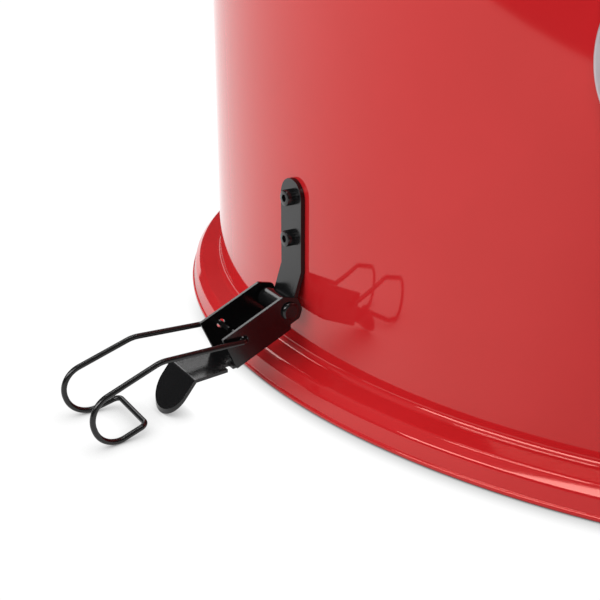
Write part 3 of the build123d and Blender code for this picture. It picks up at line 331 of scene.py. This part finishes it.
def cutHoles(piece, holes, deep, sides=48):
    # holes are (centre, direction, radius)
    bm = bmesh.new()
    for centre, direction, radius in holes:
        turn = Vector((0, 0, 1)).rotation_difference(direction).to_matrix().to_4x4()
        bmesh.ops.create_cone(bm, cap_ends=True, segments=sides, radius1=radius, radius2=radius, depth=deep,
                              matrix=Matrix.Translation(centre) @ turn)
    mesh = bpy.data.meshes.new("holeCutter")
    bm.to_mesh(mesh)
    bm.free()
    cutter = bpy.data.objects.new("holeCutter", mesh)
    scene.collection.objects.link(cutter)
    cut = piece.modifiers.new("holes", "BOOLEAN")
    cut.operation = "DIFFERENCE"
    cut.solver = "EXACT"
    cut.object = cutter
    bpy.context.view_layer.update()
    solid = bpy.data.meshes.new_from_object(piece.evaluated_get(bpy.context.evaluated_depsgraph_get()))
    piece.modifiers.clear()
    piece.data = solid
    bpy.data.objects.remove(cutter)


# ---- barrel

barrelSizes = {
    "sheet": 1.2 * mm,
    "rimRadius": 3.0 * mm,        # wire rolled into the top edge
    "flangeReach": 16.4 * mm,
    "flangeHeight": 13.4 * mm,
    "shoulderReach": 11.4 * mm,
    "shoulderDrop": 1.1 * mm,
    "skirtReach": 14.3 * mm,
    "skirtDrop": 4.6 * mm,
    "hemRadius": 1.3 * mm,
    "bend": 3.0 * mm,
    "ringSteps": 24,
    "segments": 360,
}
low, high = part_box("barrel_shell")
wallRadius = high.x - barrelSizes["flangeReach"]
barrelTop = high.z

damperSizes = {
    "azimuths": (90, 180, 270),
    "height": 62 * mm,
    "circle": 20 * mm,
    "hole": 9 * mm,
    "turn": 90,
    "count": 3,
    "cut": 16 * mm,
}


def damperHoles(sizes):
    holes = []
    for azimuth in sizes["azimuths"]:
        out = outward(azimuth)
        along = Vector((-out.y, out.x, 0))
        for i in range(sizes["count"]):
            angle = math.radians(sizes["turn"] + i * 360 / sizes["count"])
            centre = out * wallRadius + along * sizes["circle"] * math.cos(angle)
            centre.z = sizes["height"] + sizes["circle"] * math.sin(angle)
            holes.append((centre, out, sizes["hole"]))
    return holes


def makeBarrel(sizes):
    wall = wallRadius
    hemCentre = (wall + sizes["flangeReach"] - sizes["hemRadius"], sizes["hemRadius"])
    rimCentre = (wall, barrelTop - sizes["rimRadius"])
    corners = [
        (wall, rimCentre[1], 0),
        (wall, sizes["flangeHeight"], sizes["bend"]),
        (wall + sizes["shoulderReach"], sizes["flangeHeight"] - sizes["shoulderDrop"], sizes["bend"]),
        (wall + sizes["skirtReach"], sizes["flangeHeight"] - sizes["skirtDrop"], sizes["bend"]),
        (wall + sizes["flangeReach"] - sizes["sheet"] / 2, hemCentre[1], 0),
    ]
    bm = bmesh.new()
    spinOutline(bm, corners, False, sizes["segments"])
    bmesh.ops.recalc_face_normals(bm, faces=bm.faces)
    outerFace = max(bm.faces, key=lambda face: face.calc_center_median().z)
    if outerFace.normal.dot(outerFace.calc_center_median()) < 0:
        bmesh.ops.reverse_faces(bm, faces=bm.faces)
    bmesh.ops.solidify(bm, geom=bm.faces, thickness=sizes["sheet"])
    bmesh.ops.recalc_face_normals(bm, faces=bm.faces)
    piece = addPiece("barrelShell", bm, finishes["red_enamel"], "barrel", 40)
    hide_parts("barrel_shell")
    cutHoles(piece, damperHoles(damperSizes), damperSizes["cut"])
    # the rolled edges overlap the sheet and would spoil the cut, so they come after it
    rings = bmesh.new()
    spinRing(rings, hemCentre, sizes["hemRadius"], sizes["ringSteps"], sizes["segments"])
    spinRing(rings, rimCentre, sizes["rimRadius"], sizes["ringSteps"], sizes["segments"])
    bmesh.ops.recalc_face_normals(rings, faces=rings.faces)
    for face in rings.faces:
        face.smooth = True
    rolled = bpy.data.meshes.new("rolledEdges")
    rings.to_mesh(rolled)
    rings.free()
    whole = bmesh.new()
    whole.from_mesh(piece.data)
    whole.from_mesh(rolled)
    whole.to_mesh(piece.data)
    whole.free()
    bpy.data.meshes.remove(rolled)
    return piece


keepFlats(makeBarrel(barrelSizes))
print("barrel spun")


# ---- bowl and ash pan

def spinSheet(nodeName, corners, thickness, outer, finish, segments):
    # a sheet pressed to an outline; its other side lies inside the outline, seen from the outer direction
    bm = bmesh.new()
    spinOutline(bm, corners, False, segments)
    bmesh.ops.remove_doubles(bm, verts=bm.verts, dist=weld)
    bmesh.ops.recalc_face_normals(bm, faces=bm.faces)
    topFace = max(bm.faces, key=lambda face: face.calc_center_median().z)
    middle = topFace.calc_center_median()
    facing = Vector((middle.x, middle.y, 0)) if outer == "side" else Vector((0, 0, -1))
    if topFace.normal.dot(facing) < 0:
        bmesh.ops.reverse_faces(bm, faces=bm.faces)
    bmesh.ops.solidify(bm, geom=bm.faces, thickness=thickness)
    bmesh.ops.recalc_face_normals(bm, faces=bm.faces)
    piece = addPiece(nodeName + "Spun", bm, finishes[finish], bodyOf[nodeName], 40)
    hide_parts(nodeName)
    return keepFlats(piece)


bowlSizes = {
    "sheet": 1.5 * mm,
    "rim": (262 * mm, 130 * mm),
    "rimWidth": 12 * mm,
    "ledge": (222 * mm, 72 * mm),
    "ledgeWidth": 17 * mm,
    "mouth": (60 * mm, 42 * mm),
    "bend": 3.5 * mm,
    "segments": 240,
}


def makeBowl(sizes):
    rimRadius, rimHeight = sizes["rim"]
    ledgeRadius, ledgeHeight = sizes["ledge"]
    corners = [
        (rimRadius, rimHeight, 0),
        (rimRadius - sizes["rimWidth"], rimHeight, sizes["bend"]),
        (ledgeRadius, ledgeHeight, sizes["bend"]),
        (ledgeRadius - sizes["ledgeWidth"], ledgeHeight, sizes["bend"]),
        (*sizes["mouth"], 0),
    ]
    return spinSheet("charcoal_bowl", corners, sizes["sheet"], "under", "black_enamel", sizes["segments"])


makeBowl(bowlSizes)

panSizes = {
    "sheet": 1.2 * mm,
    "rim": (277.9 * mm, 24 * mm),
    "sideFoot": 16 * mm,
    "floorRadius": 262 * mm,
    "floor": 4 * mm,
    "bend": 4 * mm,
    "segments": 240,
}


def makePan(sizes):
    rimRadius, rimHeight = sizes["rim"]
    corners = [
        (rimRadius, rimHeight, 0),
        (rimRadius, sizes["sideFoot"], sizes["bend"]),
        (sizes["floorRadius"], sizes["floor"], sizes["bend"]),
        (0, sizes["floor"], 0),
    ]
    return spinSheet("ash_pan", corners, sizes["sheet"], "side", "black_enamel", sizes["segments"])


makePan(panSizes)
print("bowl and pan spun")


# ---- lid

lidSizes = {
    "sheet": 1.2 * mm,
    "base": 331.5 * mm,
    "radius": 279.5 * mm,
    "height": 160 * mm,
    "skirtRadius": 286 * mm,
    "skirtDrop": 15.5 * mm,
    "shoulder": 1.6 * mm,
    "root": 1.0 * mm,
    "hem": 0.4 * mm,
    "centreHole": 2.6 * mm,
    "arcSteps": 72,
    "ventCircle": 32 * mm,
    "vent": 11 * mm,
    "ventCount": 4,
    "ventCut": 24 * mm,
    "segments": 288,
}


def domePoints(radius, height, sizes):
    end = math.acos(sizes["centreHole"] / radius)
    angles = [end * i / sizes["arcSteps"] for i in range(sizes["arcSteps"] + 1)]
    return [(radius * math.cos(a), sizes["base"] + height * math.sin(a)) for a in angles]


def makeLid(sizes):
    sheet, base = sizes["sheet"], sizes["base"]
    outer = domePoints(sizes["radius"], sizes["height"], sizes)
    inner = domePoints(sizes["radius"] - sheet, sizes["height"] - sheet, sizes)
    corners = [
        (sizes["skirtRadius"] - sheet, base - sheet, 0),
        (sizes["skirtRadius"] - sheet, base - sizes["skirtDrop"], sizes["hem"]),
        (sizes["skirtRadius"], base - sizes["skirtDrop"], sizes["hem"]),
        (sizes["skirtRadius"], base, sizes["shoulder"]),
        (*outer[0], sizes["root"]),
        *[(*point, 0) for point in outer[1:]],
        *[(*point, 0) for point in reversed(inner)],
        (sizes["radius"] - sheet, base - sheet, 0),
    ]
    bm = bmesh.new()
    spinOutline(bm, corners, True, sizes["segments"])
    bmesh.ops.recalc_face_normals(bm, faces=bm.faces)
    piece = addPiece("lidShell", bm, finishes["red_enamel"], bodyOf["lid_shell"], 40)
    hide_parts("lid_shell")
    vents = []
    for i in range(sizes["ventCount"]):
        angle = math.tau * i / sizes["ventCount"]
        centre = Vector((math.cos(angle), math.sin(angle), 0)) * sizes["ventCircle"]
        centre.z = base + sizes["height"]
        vents.append((centre, Vector((0, 0, 1)), sizes["vent"]))
    cutHoles(piece, vents, sizes["ventCut"])
    return keepFlats(piece)


makeLid(lidSizes)
print("lid spun")


# ---- screws

capSizes = {
    "radius": 3.5 * mm,
    "height": 3.4 * mm,
    "round": 0.6 * mm,
    "groove": 0.16 * mm,
    "grooves": 26,
    "shank": 2 * mm,
    "seat": 281.42 * mm,
    "azimuths": (-35, 35, 145, -145),
    "heights": (83.3 * mm, 65.3 * mm),
    "socket": 1.75 * mm,
    "socketDepth": 1.8 * mm,
    "longest": 30 * mm,
}


def addCapHead(bm, sizes, place):
    # a knurled cap: a finely notched side, an eased front edge and a plain face
    count = 2 * sizes["grooves"]
    rings = [
        (0, 0, 1.0),
        (sizes["height"] - sizes["round"], 0, 1.0),
        (sizes["height"] - 0.3 * sizes["round"], 0.3 * sizes["round"], 0.5),
        (sizes["height"], sizes["round"], 0),
    ]
    rows = []
    for height, inset, notch in rings:
        row = []
        for i in range(count):
            radius = sizes["radius"] - inset - (i % 2) * notch * sizes["groove"]
            angle = math.tau * i / count
            point = Vector((radius * math.cos(angle), radius * math.sin(angle), height))
            row.append(bm.verts.new(place @ point))
        rows.append(row)
    for lower, upper in zip(rows, rows[1:]):
        for i in range(count):
            bm.faces.new((lower[i], lower[(i + 1) % count], upper[(i + 1) % count], upper[i]))
    bm.faces.new(list(reversed(rows[0])))
    bm.faces.new(rows[-1])


def makeCapScrews(sizes):
    first = outward(sizes["azimuths"][0])
    reaches = [first.dot(vert.co) for vert in frame["nodes"]["strap_screws"].data.vertices]
    inner = min(reach for reach in reaches if reach > wallRadius - sizes["longest"])
    shankLength = sizes["seat"] - inner
    bm = bmesh.new()
    sockets = []
    for azimuth in sizes["azimuths"]:
        out = outward(azimuth)
        turn = Vector((0, 0, 1)).rotation_difference(out).to_matrix().to_4x4()
        for height in sizes["heights"]:
            seat = out * sizes["seat"] + Vector((0, 0, height))
            addCapHead(bm, sizes, Matrix.Translation(seat) @ turn)
            middle = seat - out * (shankLength / 2 - 0.1 * mm)
            bmesh.ops.create_cone(bm, cap_ends=True, segments=32, radius1=sizes["shank"],
                                  radius2=sizes["shank"], depth=shankLength - 0.2 * mm,
                                  matrix=Matrix.Translation(middle) @ turn)
            sockets.append((seat + out * sizes["height"], out, sizes["socket"]))
    bmesh.ops.recalc_face_normals(bm, faces=bm.faces)
    piece = addPiece("capScrews", bm, finishes["black_coated_steel"], "barrel", 40)
    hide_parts("strap_screws")
    cutHoles(piece, sockets, 2 * sizes["socketDepth"], 6)
    return piece


makeCapScrews(capSizes)

panHeadSizes = {"socket": 2.3 * mm, "depth": 1.5 * mm, "near": 6 * mm, "edge": 0.15 * mm}


def headTop(nodeName, point, direction, near):
    # how far out along the direction the head above this point reaches
    reach = 0
    for vert in frame["nodes"][nodeName].data.vertices:
        away = vert.co - point
        out = away.dot(direction)
        if (away - direction * out).length < near:
            reach = max(reach, out)
    return point + direction * reach


def socketScrews(nodeName, places, sizes):
    piece = dressNode(nodeName, sizes["edge"])
    piece.modifiers.clear()
    sockets = []
    for point, direction in places:
        sockets.append((headTop(nodeName, point, direction, sizes["near"]), direction, sizes["socket"]))
    cutHoles(piece, sockets, 2 * sizes["depth"], 6)
    return piece


screwPlaces = {
    "sides": (90, -90),
    "sideSpread": 75 * mm,
    "sideHeight": 235 * mm,
    "hinge": 180,
    "hingeSpread": 70 * mm / 3,
    "hingeHeight": 274 * mm,
    "lidTurn": 17.22,
    "lidRadius": 263.4 * mm,
    "lidHeight": 385 * mm,
    "lidSlope": math.radians(31.79),
}


def wallPairs(middles, spread, height):
    # two screws, one each side of every middle, straight out of the wall
    aside = math.degrees(math.asin(spread / wallRadius))
    turns = [middle + turn for middle in middles for turn in (aside, -aside)]
    return [(outward(turn) * wallRadius + Vector((0, 0, height)), outward(turn)) for turn in turns]


def lidPair(sizes):
    rise = Vector((0, 0, math.sin(sizes["lidSlope"])))
    places = []
    for turn in (sizes["lidTurn"], -sizes["lidTurn"]):
        foot = outward(turn) * sizes["lidRadius"] + Vector((0, 0, sizes["lidHeight"]))
        places.append((foot, outward(turn) * math.cos(sizes["lidSlope"]) + rise))
    return places


sidePlaces = wallPairs(screwPlaces["sides"], screwPlaces["sideSpread"], screwPlaces["sideHeight"])
hingePlaces = wallPairs((screwPlaces["hinge"],), screwPlaces["hingeSpread"], screwPlaces["hingeHeight"])
lidPlaces = lidPair(screwPlaces)
socketScrews("side_handle_screws", sidePlaces, panHeadSizes)
socketScrews("hinge_screws", hingePlaces, panHeadSizes)
socketScrews("lid_handle_screws", lidPlaces, panHeadSizes)
print("screws made")


# ---- everything else, with its edges eased

edges = {
    "latch_straps": 0.45 * mm,
    "lever_": 0.5 * mm,
    "damper_seats": 0.4 * mm,
    "intake_damper_": 0.35 * mm,
    "lid_damper_seat": 0.4 * mm,
    "lid_damper": 0.35 * mm,
    "thermometer_case": 0.3 * mm,
    "side_handle_brackets": 0.6 * mm,
    "lid_handle_brackets": 0.6 * mm,
    "hinge_lower_leaf": 0.4 * mm,
    "hinge_upper_leaf": 0.4 * mm,
    "hinge_pin": 0.3 * mm,
    "bowl_brackets": 0.3 * mm,
    "grate_brackets": 0.3 * mm,
    "nut": 0.25 * mm,
    "pan_feet": 0.3 * mm,
    "grip": 0.3 * mm,
}
rebuilt = {"barrel_shell", "charcoal_bowl", "ash_pan", "lid_shell", "strap_screws", "side_handle_screws",
           "hinge_screws", "lid_handle_screws", "thermometer_lens", "thermometer_dial"}
for nodeName in frame["nodes"]:
    if nodeName in rebuilt:
        continue
    matches = [key for key in edges if nodeName.startswith(key)] or [key for key in edges if key in nodeName]
    dressNode(nodeName, edges[max(matches, key=len)] if matches else 0.0)
print("other nodes dressed")


# ---- marks on the dial

markSizes = {
    "centre": (0, 159.5 * mm),
    "lift": 0.05 * mm,
    "start": 225,
    "span": 270,
    "minor": 30,
    "majorEvery": 5,
    "inner": 29.4 * mm,
    "majorInner": 27.6 * mm,
    "outer": 31.6 * mm,
    "minorWidth": 0.35 * mm,
    "majorWidth": 0.75 * mm,
    "arcWidth": 0.3 * mm,
    "textRadius": 22.6 * mm,
    "textSize": 5.2 * mm,
}


def makeDialMarks(sizes):
    low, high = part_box("thermometer_dial")
    face = Matrix.Translation((sizes["centre"][0], low.y - sizes["lift"], sizes["centre"][1])) \
        @ Matrix.Rotation(math.pi / 2, 4, "X")
    bm = bmesh.new()

    def addQuad(points):
        bm.faces.new([bm.verts.new((*point, 0)) for point in points])

    for i in range(sizes["minor"] + 1):
        angle = math.radians(sizes["start"] - sizes["span"] * i / sizes["minor"])
        major = i % sizes["majorEvery"] == 0
        along = Vector((math.cos(angle), math.sin(angle)))
        aside = Vector((-along.y, along.x)) * (sizes["majorWidth"] if major else sizes["minorWidth"]) / 2
        start = along * (sizes["majorInner"] if major else sizes["inner"])
        end = along * sizes["outer"]
        addQuad([start - aside, end - aside, end + aside, start + aside])
    steps = 90
    for i in range(steps):
        angles = [math.radians(sizes["start"] - sizes["span"] * (i + j) / steps) for j in (0, 1)]
        inside, outside = [sizes["outer"] + side * sizes["arcWidth"] / 2 for side in (-1, 1)]
        addQuad([(r * math.cos(a), r * math.sin(a)) for a, r in
                 ((angles[1], inside), (angles[1], outside), (angles[0], outside), (angles[0], inside))])
    for i in range(sizes["minor"] // sizes["majorEvery"] + 1):
        angle = math.radians(sizes["start"] - sizes["span"] * i * sizes["majorEvery"] / sizes["minor"])
        curve = bpy.data.curves.new("dialNumber", "FONT")
        curve.body = str(50 * (i + 1))
        curve.size = sizes["textSize"]
        curve.align_x = "CENTER"
        curve.align_y = "CENTER"
        holder = bpy.data.objects.new("dialNumber", curve)
        scene.collection.objects.link(holder)
        bpy.context.view_layer.update()
        flat = bpy.data.meshes.new_from_object(holder.evaluated_get(bpy.context.evaluated_depsgraph_get()))
        flat.transform(Matrix.Translation((sizes["textRadius"] * math.cos(angle),
                                           sizes["textRadius"] * math.sin(angle), 0)))
        bm.from_mesh(flat)
        bpy.data.objects.remove(holder)
    bmesh.ops.transform(bm, matrix=face, verts=bm.verts)
    return addPiece("dialMarks", bm, dialInk, "barrel")


makeDialMarks(markSizes)
print("dial marked")

# ---- stage, lights and camera

stageSizes = {
    "floorHalf": 6.0,
    "floorDrop": 0.02 * mm,
    "shadeSamples": 12,
    "white": 1.03,
    "paintedShadowReach": 9.5 * mm,
    # how much of the painted contact shadow is kept, all the way round: none on the left, which is lit from
    # outside
    "paintedShadowRound": ((0.0, 0.0), (0.088, 0.0), (0.12, 1.0), (0.6, 1.0), (0.85, 0.0), (1.0, 0.0)),
    "nearShade": 30 * mm,
    "paper": 0.5,
    "endSlope": 0.371,
    "endReach": 1.018,
    "endFade": 0.03,
    "endLevel": 0.05,
    "glossy": 1.0,
    # brightness that the floor shows in a mirror, all the way round from the left over the front
    "round": ((0.0, 1.18), (0.036, 1.18), (0.072, 1.12), (0.111, 1.03), (0.175, 1.0), (0.194, 0.95),
              (0.206, 0.88), (0.217, 0.78), (0.228, 0.68), (0.25, 0.6), (0.272, 0.68), (0.283, 0.78),
              (0.294, 0.88), (0.306, 0.95), (0.325, 1.0), (0.389, 1.03), (0.428, 1.12), (0.464, 1.18),
              (1.0, 1.18)),
    "roundTop": 1.25,
}


def joinShaders(tree, factor, first, second):
    mix = addNode(tree, "ShaderNodeMixShader")
    tree.links.new(factor, mix.inputs[0])
    tree.links.new(first, mix.inputs[1])
    tree.links.new(second, mix.inputs[2])
    return mix.outputs[0]


def makeStage(sizes):
    bm = bmesh.new()
    bmesh.ops.create_grid(bm, x_segments=1, y_segments=1, size=sizes["floorHalf"])
    mesh = bpy.data.meshes.new("paperFloor")
    bm.to_mesh(mesh)
    bm.free()
    floor = bpy.data.objects.new("paperFloor", mesh)
    scene.collection.objects.link(floor)
    floor.location.z = -sizes["floorDrop"]
    finish = bpy.data.materials.new("whitePaper")
    finish.use_nodes = True
    tree = finish.node_tree
    tree.nodes.clear()
    place = addNode(tree, "ShaderNodeTexCoord").outputs["Object"]
    rays = addNode(tree, "ShaderNodeLightPath")

    def times(first, second):
        product = addNode(tree, "ShaderNodeMath", {"operation": "MULTIPLY"})
        for socket, value in zip(product.inputs, (first, second)):
            if isinstance(value, float):
                socket.default_value = value
            else:
                tree.links.new(value, socket)
        return product.outputs[0]

    def openness(reach):
        node = addNode(tree, "ShaderNodeAmbientOcclusion", {
            "Distance": reach, "samples": sizes["shadeSamples"]})
        return node.outputs["AO"]

    paper = addNode(tree, "ShaderNodeBsdfDiffuse", {"Color": (sizes["paper"],) * 3 + (1.0,)})
    turn = addNode(tree, "ShaderNodeTexGradient", {"gradient_type": "RADIAL"}, {"Vector": place})

    def ramp(levels, top):
        node = addNode(tree, "ShaderNodeValToRGB", {}, {"Fac": turn.outputs["Fac"]})
        stops = node.color_ramp.elements
        while len(stops) < len(levels):
            stops.new(0.5)
        for stop, (where, level) in zip(stops, levels):
            stop.position = where
            stop.color = (level / top,) * 3 + (1.0,)
        return node.outputs["Color"]

    # painted contact shadow: the floor's direct glow is darkened where ambient occlusion finds the object
    # near, not shaded by the lamps
    closed = addNode(tree, "ShaderNodeMath", {"operation": "SUBTRACT"}, {})
    closed.inputs[0].default_value = 1.0
    tree.links.new(openness(sizes["paintedShadowReach"]), closed.inputs[1])
    left = addNode(tree, "ShaderNodeMath", {"operation": "SUBTRACT"}, {})
    left.inputs[0].default_value = 1.0
    tree.links.new(times(closed.outputs[0], ramp(sizes["paintedShadowRound"], 1.0)), left.inputs[1])
    plain = addNode(tree, "ShaderNodeEmission", {}, {"Strength": times(left.outputs[0], sizes["white"])})
    past = addNode(tree, "ShaderNodeVectorMath", {"operation": "DOT_PRODUCT"})
    tree.links.new(place, past.inputs[0])
    past.inputs[1].default_value = (sizes["endSlope"], -1.0, 0.0)
    paperEnd = addNode(tree, "ShaderNodeMapRange", {
        "From Min": sizes["endReach"], "From Max": sizes["endReach"] + sizes["endFade"],
        "To Min": 1.0, "To Max": sizes["endLevel"]}, {"Value": past.outputs["Value"]})
    level = times(times(ramp(sizes["round"], sizes["roundTop"]), sizes["roundTop"] * sizes["glossy"]),
                  times(paperEnd.outputs["Result"], openness(sizes["nearShade"])))
    mirrored = addNode(tree, "ShaderNodeEmission", {}, {"Strength": level})
    direct = addNode(tree, "ShaderNodeMath", {"operation": "MAXIMUM"})
    tree.links.new(rays.outputs["Is Camera Ray"], direct.inputs[0])
    tree.links.new(rays.outputs["Is Transmission Ray"], direct.inputs[1])
    both = joinShaders(tree, rays.outputs["Is Glossy Ray"], paper.outputs[0], mirrored.outputs[0])
    both = joinShaders(tree, direct.outputs[0], both, plain.outputs[0])
    addNode(tree, "ShaderNodeOutputMaterial", {}, {"Surface": both})
    floor.data.materials.append(finish)


makeStage(stageSizes)

skySizes = {
    "white": 1.0,
    "left": (-0.97, 0.24, 0.0),
    "dimFrom": -0.3,
    "brightest": 1.35,
    "mirrored": 0.05,
    "mirroredTop": 0.3,
    "topStart": 0.35,
    "topEnd": 0.65,
}


def makeSky(sizes):
    # white when looked at, brighter from the left as light, and a dark room with a grey ceiling in mirrors
    world = bpy.data.worlds.new("studio")
    scene.world = world
    world.use_nodes = True
    tree = world.node_tree
    tree.nodes.clear()
    place = addNode(tree, "ShaderNodeTexCoord")
    rays = addNode(tree, "ShaderNodeLightPath")
    split = addNode(tree, "ShaderNodeSeparateXYZ", {}, {"Vector": place.outputs["Generated"]})
    ceiling = addNode(tree, "ShaderNodeMapRange", {
        "From Min": sizes["topStart"], "From Max": sizes["topEnd"],
        "To Min": sizes["mirrored"], "To Max": sizes["mirroredTop"]}, {"Value": split.outputs["Z"]})
    leftward = addNode(tree, "ShaderNodeVectorMath", {"operation": "DOT_PRODUCT"})
    tree.links.new(place.outputs["Generated"], leftward.inputs[0])
    leftward.inputs[1].default_value = sizes["left"]
    lean = addNode(tree, "ShaderNodeMapRange", {
        "From Min": sizes["dimFrom"], "From Max": 1.0, "To Min": 0.0, "To Max": sizes["brightest"]},
        {"Value": leftward.outputs["Value"]})
    light = addNode(tree, "ShaderNodeBackground", {}, {"Strength": lean.outputs["Result"]})
    mirrored = addNode(tree, "ShaderNodeBackground", {}, {"Strength": ceiling.outputs["Result"]})
    plain = addNode(tree, "ShaderNodeBackground", {"Strength": sizes["white"]})
    for node in (light, mirrored, plain):
        node.inputs["Color"].default_value = (1, 1, 1, 1)
    direct = addNode(tree, "ShaderNodeMath", {"operation": "MAXIMUM"})
    tree.links.new(rays.outputs["Is Camera Ray"], direct.inputs[0])
    tree.links.new(rays.outputs["Is Transmission Ray"], direct.inputs[1])
    both = joinShaders(tree, rays.outputs["Is Glossy Ray"], light.outputs[0], mirrored.outputs[0])
    both = joinShaders(tree, direct.outputs[0], both, plain.outputs[0])
    addNode(tree, "ShaderNodeOutputWorld", {}, {"Surface": both})


makeSky(skySizes)

lamps = {
    "backLeft": {"place": (-1.0, 0.75, 1.05), "aim": (-0.17, -0.25, 0.04), "size": (0.9, 0.5), "power": 4.0},
    "overhead": {"place": (0.0, -0.35, 1.9), "aim": (0.0, -0.3, 0.1), "size": (2.0, 0.2), "power": 10.0},
    "front": {"place": (-0.7, -1.5, 1.0), "aim": (-0.7, -0.2, 0.1), "size": (2.0, 0.5), "power": 21.0},
}


def aimAt(place, target):
    return (Vector(target) - Vector(place)).to_track_quat("-Z", "Y").to_euler()


for name, lamp in lamps.items():
    light = bpy.data.lights.new(name, "AREA")
    light.shape = "RECTANGLE"
    light.size, light.size_y = lamp["size"]
    light.energy = lamp["power"]
    holder = bpy.data.objects.new(name, light)
    holder.location = lamp["place"]
    holder.rotation_euler = aimAt(lamp["place"], lamp["aim"])
    scene.collection.objects.link(holder)

cameraSizes = {"place": (0.0, -0.6066, 0.2062), "pitch": 22.54, "turn": 22.68, "lens": 60.6, "sensor": 36.0}
camera = bpy.data.cameras.new("camera")
camera.lens = cameraSizes["lens"]
camera.sensor_width = cameraSizes["sensor"]
camera.clip_start = 0.01
tripod = bpy.data.objects.new("camera", camera)
tripod.location = cameraSizes["place"]
tripod.rotation_euler = (math.radians(90 - cameraSizes["pitch"]), 0, math.radians(cameraSizes["turn"]))
scene.collection.objects.link(tripod)
scene.camera = tripod
scene.view_settings.view_transform = "Standard"
print("stage, lights and camera set")
